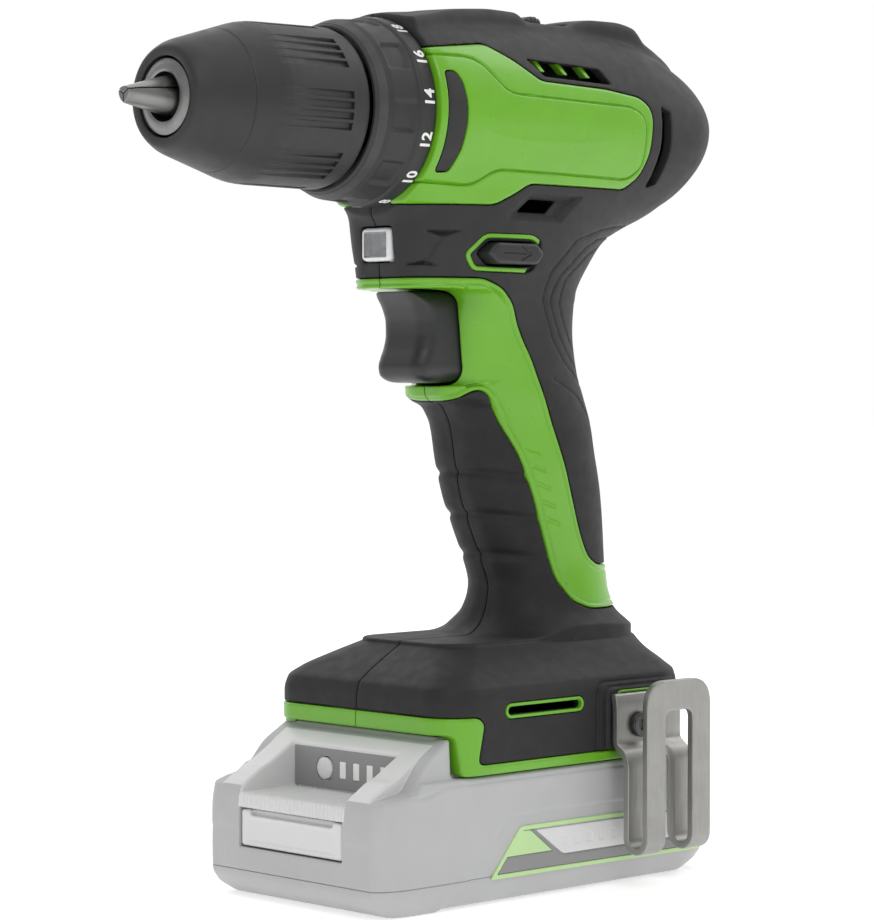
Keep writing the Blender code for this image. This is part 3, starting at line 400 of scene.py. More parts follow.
def soft_housing():
    """The housing plastic, with painted shade: darker by height on the grip between the barrel and the foot
    than on the neck and barrel.
    """
    made = Finish("charcoal_painted_grip_shade", specular=0.4)
    height = made.tree.nodes.new("ShaderNodeSeparateXYZ")
    made.link(made.place, height.inputs["Vector"])
    # painted shade: the grey is set by height, darkest on the grip
    tones = made.tree.nodes.new("ShaderNodeValToRGB")
    while len(tones.color_ramp.elements) < len(HOUSING_SHADE_TONES):
        tones.color_ramp.elements.new(0.5)
    for element, (level, grey) in zip(tones.color_ramp.elements, HOUSING_SHADE_TONES):
        element.position = level / HOUSING_HEIGHT
        element.color = (*srgb(grey, grey, grey + 1), 1)
    made.link(made.range(height.outputs["Z"], 0, 1, 0, HOUSING_HEIGHT * MM), tones.inputs["Fac"])
    cloud = made.tree.nodes.new("ShaderNodeMix")
    cloud.data_type = "RGBA"
    cloud.blend_type = "MULTIPLY"
    cloud.inputs["Factor"].default_value = 1.0
    made.link(tones.outputs["Color"], cloud.inputs["A"])
    made.link(made.range(made.noise(90, 3), 0.94, 1.06), cloud.inputs["B"])
    made.link(cloud.outputs["Result"], made.shader.inputs["Base Color"])
    made.roughness(made.noise(260, 3), 0.58, 0.68)
    made.relief(made.noise(3400, 2, rough=0.6), 0.5, 0.05)
    return made.material


def metal(name, tone, rough, stretch=None, grain=900, depth=0.02, spread=0.12):
    """Machined or blasted metal, brushed along the axis that stretch shrinks."""
    made = Finish(name, metallic=1.0)
    lines = made.noise(grain, 3, stretch)
    dark = tuple(c * (1 - spread) for c in tone)
    made.colour(made.noise(160, 3), dark, tuple(min(1, c * (1 + spread)) for c in tone))
    made.roughness(lines, rough - 0.08, rough + 0.08)
    made.relief(lines, 0.3, depth)
    return made.material


HOUSING_HEIGHT = 260.0
HOUSING_SHADE_TONES = ((30, 33), (68, 31), (80, 23), (128, 24), (150, 38), (175, 42), (250, 43))    # z, grey; the grey is painted shade, darkest on the grip between barrel and foot
# charcoal housing plastic with painted shade on the grip
CHARCOAL_PAINTED_SHADE = soft_housing()
CHARCOAL_FINE = moulded("fine_charcoal", srgb(43, 43, 44), 0.52, 4200, 0.03, 0.05, 0.45)
CHARCOAL_SMOOTH = moulded("smooth_charcoal", srgb(38, 38, 39), 0.38, 5000, 0.012, 0.05, 0.5)
# speckled grey for the collar's front bevel; the speckle is the plastic's texture, the lighter tone is
# painted highlight
SPECKLED_HIGHLIGHT_GREY = moulded("speckled_charcoal_painted_highlight", srgb(58, 58, 58), 0.66, 1900, 0.16, 0.35)
BLACK = moulded("black_plastic", srgb(24, 24, 25), 0.6, 3000, 0.04)
GREEN = moulded("gloss_green", srgb(103, 170, 30), 0.32, 800, 0.003, 0.03, 0.45, 0.2)
PALE = moulded("pale_plastic", srgb(183, 183, 184), 0.5, 3800, 0.02, 0.02, 0.4)
PALE_LIGHT = moulded("light_plastic", srgb(218, 218, 218), 0.4, 3800, 0.015, 0.02, 0.4)
PALE_DARK = moulded("grey_plastic", srgb(140, 140, 141), 0.42, 3800, 0.015, 0.02, 0.4)
LABEL_GREEN = moulded("label_green", srgb(188, 222, 158), 0.35, 5000, 0.005, 0.02)
LENS_RIM = moulded("frosted_rim", srgb(226, 228, 230), 0.25, 900, 0.01, 0.02)
WHITE = moulded("white_print", srgb(236, 236, 234), 0.45, 5000, 0.006, 0.02)
STEEL = metal("turned_steel", (0.25, 0.25, 0.247), 0.38, (14, 1, 1))
JAW_STEEL = metal("jaw_steel", (0.25, 0.247, 0.243), 0.36, (1, 9, 9))
CLIP_STEEL = metal("satin_steel", srgb(164, 163, 160), 0.5, (1, 1, 0.06), 2600, 0.03, 0.05)
DARK_STEEL = metal("blackened_steel", (0.10, 0.10, 0.10), 0.38, None, 1800, 0.03)
IRON = metal("laminated_iron", (0.22, 0.22, 0.23), 0.45, (10, 1, 1), 1500, 0.03)
COPPER = metal("copper_wire", (0.72, 0.33, 0.16), 0.32, None, 2600, 0.05)
BOARD = moulded("circuit_board", (0.012, 0.11, 0.045), 0.4, 2600, 0.01, 0.15)
RUBBER_LEAD = moulded("lead_rubber", (0.02, 0.02, 0.02), 0.55, 2600, 0.02)
WRAP = moulded("cell_wrap", srgb(58, 120, 172), 0.3, 2600, 0.005, 0.04)


def clear_plastic():
    made = Finish("clear_lens", specular=0.6, coat=0.6, coat_roughness=0.04, ior=1.49)
    made.colour(made.noise(300, 2), (0.60, 0.61, 0.62), (0.74, 0.75, 0.76))
    made.roughness(made.noise(500, 2), 0.06, 0.16)
    made.set("Transmission Weight", 0.72)
    made.relief(made.noise(900, 1), 0.08, 0.05)
    return made.material


CLEAR = clear_plastic()


# ---- the housing form ----

BARREL_ROWS = ((-41, 245.6, 190.2, 27.9), (-37, 246.2, 189.6, 28.6), (-20, 246.9, 189.0, 29.2),
               (0, 247.1, 189.0, 29.5), (30, 247.0, 189.0, 29.5), (45, 246.2, 189.1, 29.4),
               (55, 243.8, 190.0, 28.7), (66, 239.4, 194.0, 27.0), (72, 235.8, 198.0, 24.5),
               (76.5, 231.2, 202.5, 21.0), (79.0, 227.0, 207.0, 16.5), (80.4, 223.0, 212.0, 11.0))
SPINE_ROWS = ((-41, 244.5), (-29, 246.6), (-25, 247.5), (-16, 248.5), (-6, 249.1), (2, 249.0), (7, 247.0),
              (10, 246.6), (25, 246.7), (30, 248.3), (36, 249.3), (44, 249.4), (51, 248.4), (56, 244.6),
              (62, 242.2), (70, 238.5), (78, 229.0))
NECK_ROWS = ((169.4, -38.3, 6, -8, 21.4, -6, 31, 2), (175, -38.8, 6, -8, 22.5, -6, 35.6, 2),
             (182, -39.5, 6.5, -8, 23.8, -6, 41.9, 2), (190, -40.2, 7, -8, 24.4, -5, 55, 2),
             (197, -40.6, 8, -7, 25, 0, 64, 2), (206, -40.6, 8, -7, 25, 0, 66, 2))
GRIP_ROWS = ((62, 3, 5, 22, 21.5, 26, 50, 3), (72, 3, 5, 22, 21.5, 26, 49.0, 3),
             (77, 3.4, 4, 24, 19.8, 26, 47.2, 2), (84, 4, 3, 25, 18.7, 25, 45.4, 2),
             (92, 1.2, 3, 23.5, 18.0, 24, 45.0, 2), (101, -3, 3, 21, 18.4, 22, 44.4, 2),
             (111, -7.2, 3, 19, 19.4, 19, 43.0, 2), (121, -9.4, 3, 16, 20.4, 16, 40.3, 2),
             (131, -11.4, 3, 14, 20.5, 14, 38.0, 2), (139, -15.6, 4, 10, 20.8, 10, 35.0, 2),
             (146, -17.6, 5, 8, 20.6, 8, 32.2, 2), (158, -18, 7, 4, 20.8, 7, 30.0, 2),
             (168, -18, 10.5, -7, 21.5, 6, 30.9, 2), (182, -18, 10.5, -8, 22.9, 4, 40.0, 2),
             (196, -18, 10.5, -8, 22.9, 4, 51.0, 2))
GUARD_ROWS = ((137.2, -18, 3, -6, 14.5, -4, 8, 2), (139.2, -20.6, 3, -8, 15.4, -4, 8, 2),
              (142, -21.2, 3, -8, 15.6, -4, 8, 2))
FOOT_ROWS = ((30, -47.5, 27, -35, 37.3, 38, 54.4, 20), (55.5, -47.5, 27, -35, 37.3, 38, 54.4, 20),
             (59.5, -46.6, 26, -35, 36.4, 38, 53.6, 20), (62.0, -43.6, 24, -34, 33.6, 38, 52.2, 16),
             (65.5, -38.0, 18, -28, 28.5, 36, 50.8, 10), (69.5, -31.0, 12, -20, 21.5, 34, 49.6, 6))


def plan(x, y, z, rows, top):
    """A form drawn as level sections: flat front, rounded corners, straight sides, flat rear."""
    front, front_flat, side_from, half, side_to, rear, rear_flat = (
        curve(z, [(row[0], row[i]) for row in rows]) for i in range(1, 8))
    across = np.abs(y)
    lead = oval(np.maximum(side_from - x, 0), np.maximum(across - front_flat, 0),
                side_from - front, half - front_flat)
    tail = oval(np.maximum(x - side_to, 0), np.maximum(across - rear_flat, 0),
                rear - side_to, half - rear_flat)
    return smax(smax(np.maximum(lead, tail), rows[0][0] - z, 0.8), z - top, 0.8)


def levelled(form, x, y, z, dx=0.0, dz=0.0):
    """A sectioned form's field, corrected for the slope of its sections."""
    d = form(x, y, z)
    rise = (form(x + dx, y, z + dz) - d) / (dx + dz)
    return d / np.sqrt(1 + rise * rise)


def barrel_section(x, y, z):
    top, bottom, half = (curve(x, [(row[0], row[i]) for row in BARREL_ROWS]) for i in (1, 2, 3))
    up = z - SPINDLE_Z
    return oval(np.abs(y), np.abs(up), half, np.where(up > 0, top - SPINDLE_Z, SPINDLE_Z - bottom))


def spine(x, y, z):
    """The raised moulding along the top of the barrel."""
    half = curve(x, ((-41, 17), (-20, 15.5), (5, 14), (30, 13.5), (50, 14.5), (78, 10)))
    crown = curve(x, SPINE_ROWS) - 0.0035 * y * y
    d = smax(z - crown, np.abs(y) - half, 3.0)
    return smax(smax(d, 232 - z, 1), np.abs(x - 18.5) - 59.5, 1)


def outer(x, y, z):
    """The outside of the whole housing."""
    barrel = levelled(barrel_section, x, y, z, dx=0.5)
    barrel = smax(barrel, x - 80.2, 2.5)
    barrel = smin(barrel, spine(x, y, z), 1.6)
    barrel = smax(barrel, -41.0 - x, 0.8)
    grip = levelled(lambda a, b, c: plan(a, b, c, GRIP_ROWS, 196), x, y, z, dz=0.5)
    neck = levelled(lambda a, b, c: plan(a, b, c, NECK_ROWS, 206), x, y, z, dz=0.5)
    guard = plan(x, y, z, GUARD_ROWS, 142.0)
    foot = levelled(lambda a, b, c: plan(a, b, c, FOOT_ROWS, 70.5), x, y, z, dz=0.5)
    body = smin(barrel, neck, 5.0)
    body = smin(body, smin(grip, guard, 2.0), 3.0)
    return smin(body, foot, 9.0)


PANEL = Stencil(((-43, 234.4), (-19.5, 237.1), (-11.6, 233.2), (-2.6, 227.6), (24, 226.9), (37.2, 225.4),
                 (41.2, 223), (42.4, 219.5), (42.3, 208.9), (40.8, 202.5), (36.6, 199), (-4.3, 198.9),
                 (-9.5, 196.1), (-17, 192.6), (-43, 192.4)), 2.0)
PANEL_LINE = Stencil(((-46, 232.6), (-28.9, 232.8), (-24.6, 231.4), (-16.8, 223.9), (-12, 223.2),
                      (34, 222.4), (39.4, 219.6), (40.4, 205.0), (36.2, 201.8), (-18.1, 202.3),
                      (-25.5, 197.6), (-46, 198.4)), 3.0)
BAR = Stencil(((-38.8, 228), (-35.4, 228.2), (-33.4, 225.5), (-32.4, 220), (-32.2, 214.5), (-32.8, 207),
               (-34.4, 201.2), (-38.8, 200.9)), 1.2)
STRIPE = Stencil(((-42, 172.2), (-18.2, 172.2), (-12.4, 170), (-7.2, 165.7), (-2, 155.4), (1.6, 149.5),
                  (9.8, 131.5), (16.9, 115.4), (24.2, 98.1), (27.4, 92.6), (32, 90), (60, 89), (60, 78),
                  (34, 77.6), (26, 77.8), (20.2, 80), (15.4, 86.3), (11.4, 96.4), (5.9, 110.2),
                  (-0.3, 123.4), (-5.2, 131.6), (-7.8, 135.6), (-11, 140.0), (-13.4, 141.2), (-16.2, 140.4),
                  (-19, 137.6), (-24, 136.0), (-32, 135.4), (-32, 143),
                  (-24, 143), (-24, 169.1), (-42, 169.1)), 2.2)
RIM = Stencil(((-52, 52.2), (-36.4, 52.0), (-34.0, 50.2), (-36.2, 40.0), (-34.8, 38.9), (60, 38.9),
               (60, 36.1), (-41.6, 36.1), (-42.8, 46.2), (-44.2, 47.4), (-52, 47.4)), 1.4)
TOP_VENT = Stencil(((-5.5, 233.8), (23.6, 232.8), (26.8, 228.4), (-0.5, 229.0)), 0.8)
REAR_VENT = Stencil(((46.5, 223.5), (50.5, 222), (51.5, 211), (50, 201), (46, 200), (46.8, 211)), 0.8)
DIAMOND = Stencil(((-6.7, 191.0), (-2.0, 194.7), (9.0, 194.6), (5.3, 191.0)), 0.6)
DIAMOND_FRAME = Stencil(((-12.2, 189.6), (-3.4, 196.6), (19.2, 196.5), (9.4, 188.2), (-11.6, 188.4)), 0.8)
LEVER_SLOT = Stencil(((-21.0, 179.2), (-17, 182.7), (-1, 182.7), (2.3, 179.2), (-1, 175.7),
                      (-17, 175.7)), 1.2)
LEVER_FRAME = Stencil(((-25.6, 179.0), (-19.5, 184.9), (-1.6, 184.9), (2.2, 182.8), (-0.2, 175.0),
                       (-3.2, 173.7), (-22.5, 174.0)), 2.0)
DIMPLE_TOP = Stencil(((-36.4, 185.4), (-25.2, 185.5), (-31.2, 183.3)), 0.4)
DIMPLE_LOW = Stencil(((-39.2, 175.6), (-30.6, 175.4), (-34.5, 177.3)), 0.4)
DIMPLE_LINE = Stencil(((-31.6, 183.2), (-32.6, 181.7), (-34.4, 177.2)), 0.5, closed=False)
WEB_LINES = tuple(Stencil(points, 2.0, closed=False) for points in (
    ((52, 189.4), (43.9, 189.0), (33, 187.6), (17.8, 183.8), (6.9, 174.5), (4.5, 167.6), (6.8, 162.2),
     (10.1, 154.6), (16.1, 148.4), (24.3, 144.3), (33, 140)),
    ((46, 186.2), (40.4, 185.8), (31, 184.6), (23.2, 181.6), (11.0, 173.3), (7.7, 167.0), (10.4, 160.9),
     (13.7, 155.4), (18.4, 150.5), (26, 146)),
    ((36, 182.6), (27.2, 180.4), (14.4, 172.7), (12.0, 166.4), (14.4, 160.9), (18.7, 155.4), (25, 151)),
    ((10.0, 144.3), (22.1, 139.0), (31, 132))))
CLIP_BOSS = Stencil(((10.9, 30), (10.9, 58.2), (45.8, 58.2), (45.8, 30)), 3.0)
CLIP_SEAT = Stencil(((13.8, 30), (13.8, 57.0), (43.6, 57.0), (43.6, 30)), 2.4)
FOOT_SLOT = (-10.3, 53.0, 13.4)          # x, z and straight half length of the vent in the side of the foot
REAR_SLOT = (29.5, 53.7, 9.6)            # the same for the one behind the clip

SCREWS = ((-22.0, 244.7, 13.0), (45.5, 244.4, 14.0), (-30.0, 184.5, 19.5), (24.0, 158.0, 16.5),
          (21.6, 101.0, 18.0), (-33.0, 59.5, 34.0))


GRIP_GROOVES = (117.0, 105.5, 94.5)      # their levels
TRIGGER_HALF_WIDTH = 10
TRIGGER_MIDDLE, TRIGGER_HALF_HEIGHT = 155.8, 13.2
TRIGGER_CORNER = 5.5
MOUTH_REAR = -3.2                        # how far back the trigger's mouth is open


def grip_grooves(x, z):
    """Three finger grooves round the front of the grip, which fade toward its side."""
    depth = 0
    for level in GRIP_GROOVES:
        slope = (x + 4) * 0.12
        fade = np.clip((14 - x) / 12, 0, 1)
        depth = depth + trough(z - level + slope, 1.1, 0.75) * fade
    return depth


def trigger_section(y, z, spare):
    """The trigger seen from the front, grown by a clearance."""
    across = np.maximum(np.abs(y) - TRIGGER_HALF_WIDTH - spare + TRIGGER_CORNER, 0)
    height = np.maximum(np.abs(z - TRIGGER_MIDDLE) - TRIGGER_HALF_HEIGHT - spare + TRIGGER_CORNER, 0)
    return np.hypot(across, height) - TRIGGER_CORNER


def trigger_mouth(x, y, z):
    return np.maximum(trigger_section(y, z, 0.35), x - MOUTH_REAR)


def shell_field(side):
    """One half of the housing, with everything that is moulded or cut into it."""
    def field(x, y, z):
        skin = outer(x, y, z)
        inner = skin + WALL
        for dimple in (DIMPLE_TOP, DIMPLE_LOW):
            skin = skin + 1.6 * np.clip(-dimple(x, z) / 0.8, 0, 1)
        skin = skin + trough(DIMPLE_LINE(x, z), 0.5, 0.5)
        skin = skin + grip_grooves(x, z)
        for line in WEB_LINES:
            skin = skin + trough(line(x, z), 0.32, 0.5)
        frame_edge = DIAMOND_FRAME(x, z)
        skin = skin + 2.4 * np.clip(-frame_edge / 2.4, 0, 1)
        lever = LEVER_FRAME(x, z)
        skin = skin + 1.2 * step_down(lever + 0.2, 0.5) * (y > 12)
        if side < 0:
            boss = CLIP_BOSS(x, z)
            seat = CLIP_SEAT(x, z)
            low_down = step_down(z - 66, 2.0) * (y > 30)
            skin = skin - low_down * (0.7 * step_down(boss + 0.3, 0.5) + 0.3 * step_down(seat, 0.5)
                                      - trough(seat + 0.1, 0.4, 0.6) - trough(boss - 0.1, 0.35, 0.3))
        d = smax(skin, -inner, 0.4)
        pocket = np.maximum(np.maximum(PANEL(x, z) - GAP, 8 - y), -BAR(x, z))
        stripe = STRIPE(x, z) - GAP
        d = smax(d, -np.maximum(np.minimum(pocket, stripe), -(outer(x, y, z) + FLOOR)), 0.25)
        rim = np.maximum(RIM(x, z) - GAP, z - 60)
        d = smax(d, -rim, 0.25)
        vents = np.minimum(np.minimum(TOP_VENT(x, z), REAR_VENT(x, z)), DIAMOND(x, z))
        d = smax(d, -np.maximum(vents, 15 - y), 0.5)
        d = smax(d, -LEVER_SLOT(x, z), 0.4)
        slots = capsule(x, z, *FOOT_SLOT, 1.15)
        frames = capsule(x, z, *FOOT_SLOT, 2.35)
        if side < 0:
            slots = np.minimum(slots, capsule(x, z, *REAR_SLOT, 1.15))
            frames = np.minimum(frames, capsule(x, z, *REAR_SLOT, 2.35))
        d = smax(d, -np.maximum(frames, 35.3 - y), 0.2)
        d = smax(d, -np.maximum(slots, 33 - y), 0.2)
        d = smax(d, -trigger_mouth(x, y, z), 0.4)
        d = smax(d, -brick(x, y, z, (-60, -8, 176.5), (-32, 6.3, 186.7), 1.2), 0.4)
        mouth = np.maximum(z - 48, x + curve(z, ((20, 40.3), (44.6, 41.3), (48, 43.6))))
        d = smax(d, -mouth, 0.3)
        d = smax(d, -brick(x, y, z, (8, -10, 240), (28, 9, 262), 1.2), 0.5)
        d = smax(d, -np.maximum(np.hypot(y, z - SPINDLE_Z) - 23.6, x + 30), 0.4)
        if side > 0:
            for sx, sz, half in SCREWS:
                hole = np.hypot(x - sx, z - sz) - 2.9
                d = smin(d, np.maximum(np.maximum(hole - 1.4, skin + 0.4), half - 9 - y), 0.4)
                d = smax(d, -np.maximum(hole, half - 6 - y), 0.5)
        d = smax(d, 36.2 - z, 0.4)
        return smax(d, GAP / 2 - y, 0.3)
    return field


def panel_field(x, y, z):
    """The gloss panel on the side of the barrel, with its raised middle."""
    skin = outer(x, y, z)
    line = PANEL_LINE(x, z)
    face = skin - PROUD + trough(line, 0.35, 0.7)
    d = smax(face, PANEL(x, z), 0.9)
    d = smax(d, -(skin + SKIN), 0.2)
    d = smax(d, -(BAR(x, z) - GAP), 0.5)
    ribs = np.abs(((x + z * 0.5 + 500) % 9.0) - 4.5) - 0.9
    rib = np.maximum(np.maximum(ribs, TOP_VENT(x, z) - 0.4), np.abs(skin + 2.7) - 1.1)
    d = np.minimum(d, np.maximum(rib, -(PANEL(x, z) - 3)))
    return smax(d, 8.2 - y, 0.3)


def stripe_field(x, y, z):
    """The gloss trim round the trigger and down the grip, with its lowered border."""
    skin = outer(x, y, z)
    edge = STRIPE(x, z)
    face = skin - PROUD + trough(edge + 1.5, 0.35, 0.35)
    for k in range(5):
        dash = np.maximum(np.abs((z - 124 + k * 5.2) + (x - 3.5 - k * 2.3) * 0.35) - 0.5,
                          np.abs(x - 3.6 - k * 2.35) - 2.3)
        face = face + 0.3 * step_down(dash, 0.5)
    d = smax(face, edge, 0.8)
    d = smax(d, -(skin + SKIN), 0.2)
    d = smax(d, -trigger_mouth(x, y, z), 0.3)
    return smax(d, 0.17 - y, 0.2)


def rim_field(x, y, z):
    """The gloss rim round the lower edge of the foot."""
    skin = outer(x, y, z)
    d = smax(skin - PROUD, RIM(x, z), 0.9)
    d = smax(d, -(skin + WALL), 0.2)
    return smax(d, 0.17 - y, 0.2)


def ring_piece(name, shape, low, high, side, top, bottom):
    """A gloss frame let into the side of the housing: shape(x, z) is its ring."""
    def field(x, y, z):
        skin = outer(x, y, z)
        return smax(smax(shape(x, z), skin - top, 0.5), -(skin + bottom), 0.2)
    place(solid(name, field, low, high, 0.25, GREEN, flip=side < 0), "housing", "gloss_green")


def lever_ring(x, z):
    edge = LEVER_FRAME(x, z)
    return np.maximum(np.maximum(edge + 0.25, -(edge + 1.5)), x - (z - 183) * 0.54 - 0.8)


def slot_ring(slot):
    return lambda x, z: np.maximum(capsule(x, z, *slot, 2.1), -capsule(x, z, *slot, 1.2))


GLOSS = (("panel", "side_panel", panel_field, (-42, 6, 189), (45, 31.5, 240)),
         ("stripe", "grip_stripe", stripe_field, (-42, -0.6, 75), (54, 25.5, 174)),
         ("rim", "base_rim", rim_field, (-50, -0.6, 35), (57, 39.5, 54)))


def housings():
    for name, side in SIDES:
        shell = solid(name + "_shell", shell_field(side), (-49.5, -0.7, 34.5), (82.5, 40.5, 251.5),
                      0.5, CHARCOAL_PAINTED_SHADE, flip=side < 0)
        place(shell, "housing", "housing_plastic", name + "_housing")
        for piece, node, field, low, high in GLOSS:
            made = solid(f"{name}_{piece}", field, low, high, GLOSS_STEP, GREEN, flip=side < 0)
            place(made, "housing", "gloss_green", f"{name}_{node}")
        ring_piece(name + "_lever_frame", lever_ring, (-28, 15, 172), (5, 27, 187), side, 0.1, 1.1)
        ring_piece(name + "_vent_frame", slot_ring(FOOT_SLOT), (-27, 34, 49), (7, 39.5, 57), side, 0.15, 1.6)
    ring_piece("left_clip_frame", slot_ring(REAR_SLOT), (15, 34, 48), (43, 40, 57), -1, 1.0, 1.6)


GLOSS_STEP = 0.3
PACK_STEP = 0.4


# ---- chuck and collar ----

JAW_TIP_X = -128.7
JAW_RADIUS = 3.6
JAW_ANGLE = math.radians(14.7)
JAW_LENGTH = 30.0
TIP_RADIUS = 1.9


def jaw_line(x):
    """A point on a jaw's own axis, in the half plane above the spindle."""
    outside = TIP_RADIUS + (x - JAW_TIP_X) * math.tan(JAW_ANGLE)
    return Vector((x, 0, outside - JAW_RADIUS / math.cos(JAW_ANGLE)))


def rod(name, start, end, radius, steps, material=None):
    start, end = Vector(start), Vector(end)
    length = (end - start).length
    made = turned(name, ((0, 0.001), (0, radius), (length, radius), (length, 0.001)), material, steps,
                  centre=(0, 0))
    turn = (end - start).to_track_quat("X", "Z").to_matrix().to_4x4()
    made.data.transform(Matrix.Translation(start * MM) @ turn)
    return made


def about_spindle(made, degrees):
    turn = Matrix.Rotation(math.radians(degrees), 4, "X")
    made.data.transform(Matrix.Translation((0, 0, SPINDLE_Z * MM)) @ turn)
    return made


def jaw(number):
    """A slanted round jaw, its gripping side a 120 degree wedge with a flat and fine teeth."""
    slope = math.tan(math.radians(30))
    axis = (jaw_line(0) - jaw_line(-10)).normalized()
    base = jaw_line(JAW_TIP_X)

    def field(x, y, z):
        dx, dy, dz = x - base.x, y, z - base.z
        along = dx * axis.x + dz * axis.z
        off = np.sqrt(np.maximum(dx * dx + dy * dy + dz * dz - along * along, 0)) - JAW_RADIUS
        d = smax(off, JAW_TIP_X - x, 0.25)
        d = smax(d, x - JAW_TIP_X - JAW_LENGTH + 1, 0.3)
        flat = (np.abs(y) * slope + 0.16 - z) * math.cos(math.radians(30))
        teeth = 0.12 * np.abs(((x * 1.1) % 1.0) - 0.5) * (x > JAW_TIP_X + 1.5)
        return smax(d, flat + teeth, 0.15)
    made = solid(f"jaw_{number}_steel", field, (-129.4, -4.4, -1), (-96, 4.4, 11.5), 0.2, JAW_STEEL)
    about_spindle(made, 120 * (number - 1))
    return place(made, f"jaw_slide_{number}", "jaw_steel", f"jaw_{number}")


def chuck():
    core = turned("chuck_core", (
        (-115.8, 7.2), (-115.8, 8.3), (-115.6, 8.7), (-114.9, 10.0), (-114.5, 10.2), (-113.9, 10.0),
        (-113.6, 10.0), (-112.9, 10.25), (-109.7, 10.25), (-109.2, 11.2), (-100, 14.9),
        (-84.2, 14.9), (-84.2, 18.8), (-62.2, 18.8), (-62.2, 7.4), (-66, 7.4), (-66, 6.0),
        (-74, 6.0), (-74, 6.6), (-115.4, 6.6)), STEEL, 96, centre=(0, 0))
    for i in range(3):
        bore = rod("bore", jaw_line(-135), jaw_line(-66.5), JAW_RADIUS + 0.2, 48)
        bore.data.transform(Matrix.Rotation(2 * math.pi * i / 3, 4, "X"))
        boolean(core, bore, "DIFFERENCE")
    about_spindle(core, 0)
    place(core, "spindle", "chuck_steel", "chuck_body")
    for number in (1, 2, 3):
        jaw(number)
    profile = dense([(-114.6, 10.7), (-115.2, 10.8), (-115.45, 11.2), (-115.45, 12.9), (-115.1, 13.5),
                     (-114.3, 14.1), (-112.6, 15.1)], 1.0, False)
    profile += dense([(-111, 15.7), (-99.8, 18.97), (-99.5, 18.85), (-99.2, 19.13), (-93.4, 20.85),
                      (-91.4, 21.35), (-89.2, 21.68), (-86, 21.83), (-68.03, 22.08), (-67.97, 22.08),
                      (-63.4, 22.13), (-62.4, 21.9), (-62.0, 21.4)], 0.45, False)
    profile += [(-62.0, 19.4), (-91.6, 19.4), (-100.4, 15.6), (-109.8, 11.6), (-114.0, 10.7)]
    pitch, step = math.radians(45), math.radians(7.4)

    def grooves(x, r, turn):
        """Groups of four flat grooves; their rear ends are square and their fronts run out."""
        group = (turn + math.radians(6) + pitch / 2) % pitch - pitch / 2
        nearest = np.clip(np.round(group / step - 0.5), -2, 1)
        away = np.abs(group - (nearest + 0.5) * step) * 22.2
        run = np.clip((x + 92.6) / 24.6, 0, 1) * (x < -68) * (r > 20)
        return 0.9 * run * step_down(away - 0.9, 0.3)
    sleeve = turned("chuck_grip", profile, CHARCOAL_FINE, 1120, grooves)
    place(sleeve, "sleeve", "chuck_plastic", "chuck_sleeve")


BAND_RADIUS = 26.2          # the collar's number band
NUMBER_FIRST = -149.3       # angle of the 2, in degrees
NUMBER_PITCH = 25.8
NUMBER_X = -43.9           # middle of the printed band


def collar():
    """The torque collar: speckled bevel in a lighter grey that paints its highlight, hollows for the fingers,
    and the number band.
    """
    front = dense([(-61.0, 22.2), (-61.0, 22.6), (-60.7, 23.0), (-60.0, 23.3), (-57.4, 24.2), (-56.8, 24.5)],
                  0.8, False)
    front += dense([(-56.2, 24.8), (-47.2, 25.4), (-46.7, 25.9), (-46.2, 26.1), (-42.1, BAND_RADIUS),
                    (-41.6, 26.0), (-41.45, 25.6)], 0.4, False)
    profile = front + [(-41.45, 23.6), (-56.6, 23.6), (-57.8, 22.6), (-59.2, 21.9), (-61.0, 21.9)]

    def hollows(x, r, turn):
        pitch = math.radians(40)
        across = np.abs((turn + math.radians(6.5) + pitch / 2) % pitch - pitch / 2) * 25.0
        ends = step_down(-55.6 - x, 1.2) * step_down(x + 48.2, 1.2)
        return 0.85 * (r > 24.4) * step_down(across - 4.0, 1.3) * ends
    ring = turned("collar_ring", profile, CHARCOAL_FINE, 480, hollows)
    place(ring, "collar", "collar_plastic", "torque_collar")
    bevel = turned("collar_bevel", ((-60.0, 23.22), (-57.5, 24.1), (-57.6, 24.22), (-60.1, 23.34)),
                   # the bevel's lighter grey is painted highlight
                   SPECKLED_HIGHLIGHT_GREY, 192)
    place(bevel, "collar", "collar_plastic")
    for i, value in enumerate(range(2, 22, 2)):
        number_on_band(str(value), math.radians(NUMBER_FIRST + NUMBER_PITCH * i))


def number_on_band(text, middle):
    """A printed number, read upward, its top toward the chuck."""
    letters = bpy.data.curves.new("number", "FONT")
    letters.body = text
    letters.size = 4.9
    letters.align_x, letters.align_y = "CENTER", "CENTER"
    letters.offset = 0.15
    letters.extrude = 0.03
    letters.resolution_u = 4
    letters.space_character = 1.02
    carrier = bpy.data.objects.new("number", letters)
    bpy.context.scene.collection.objects.link(carrier)
    graph = bpy.context.evaluated_depsgraph_get()
    mesh = bpy.data.meshes.new_from_object(carrier.evaluated_get(graph))
    bpy.data.objects.remove(carrier, do_unlink=True)
    for vertex in mesh.vertices:
        u, v, w = vertex.co
        angle = middle + u / BAND_RADIUS
        r = BAND_RADIUS + 0.03 + w
        vertex.co = Vector((NUMBER_X - v, -r * math.cos(angle), SPINDLE_Z + r * math.sin(angle))) * MM
    made = bpy.data.objects.new("collar_number_" + text, mesh)
    bpy.context.scene.collection.objects.link(made)
    mesh.materials.append(WHITE)
    place(made, "collar", "collar_plastic")


# ---- controls ----

TRIGGER = Stencil(((-35, 169.0), (-33.2, 167.0), (-31.0, 163.6), (-29.9, 160.0), (-29.8, 156.6),
                   (-30.6, 153.0), (-31.9, 150.0), (-32.6, 147.6), (-32.2, 145.4), (-30.6, 143.4),
                   (-27.4, 142.7), (-22, 142.6), (-10.4, 142.6), (-10.4, 169.0)), 1.5)
TRIGGER_FRONT = ((142.6, -28.5), (145.4, -32.2), (147.6, -32.6), (150, -31.9), (153, -30.6),
                 (156.6, -29.8), (160, -29.9), (163.6, -31.0), (167, -33.2), (169, -35.0))    # z, x


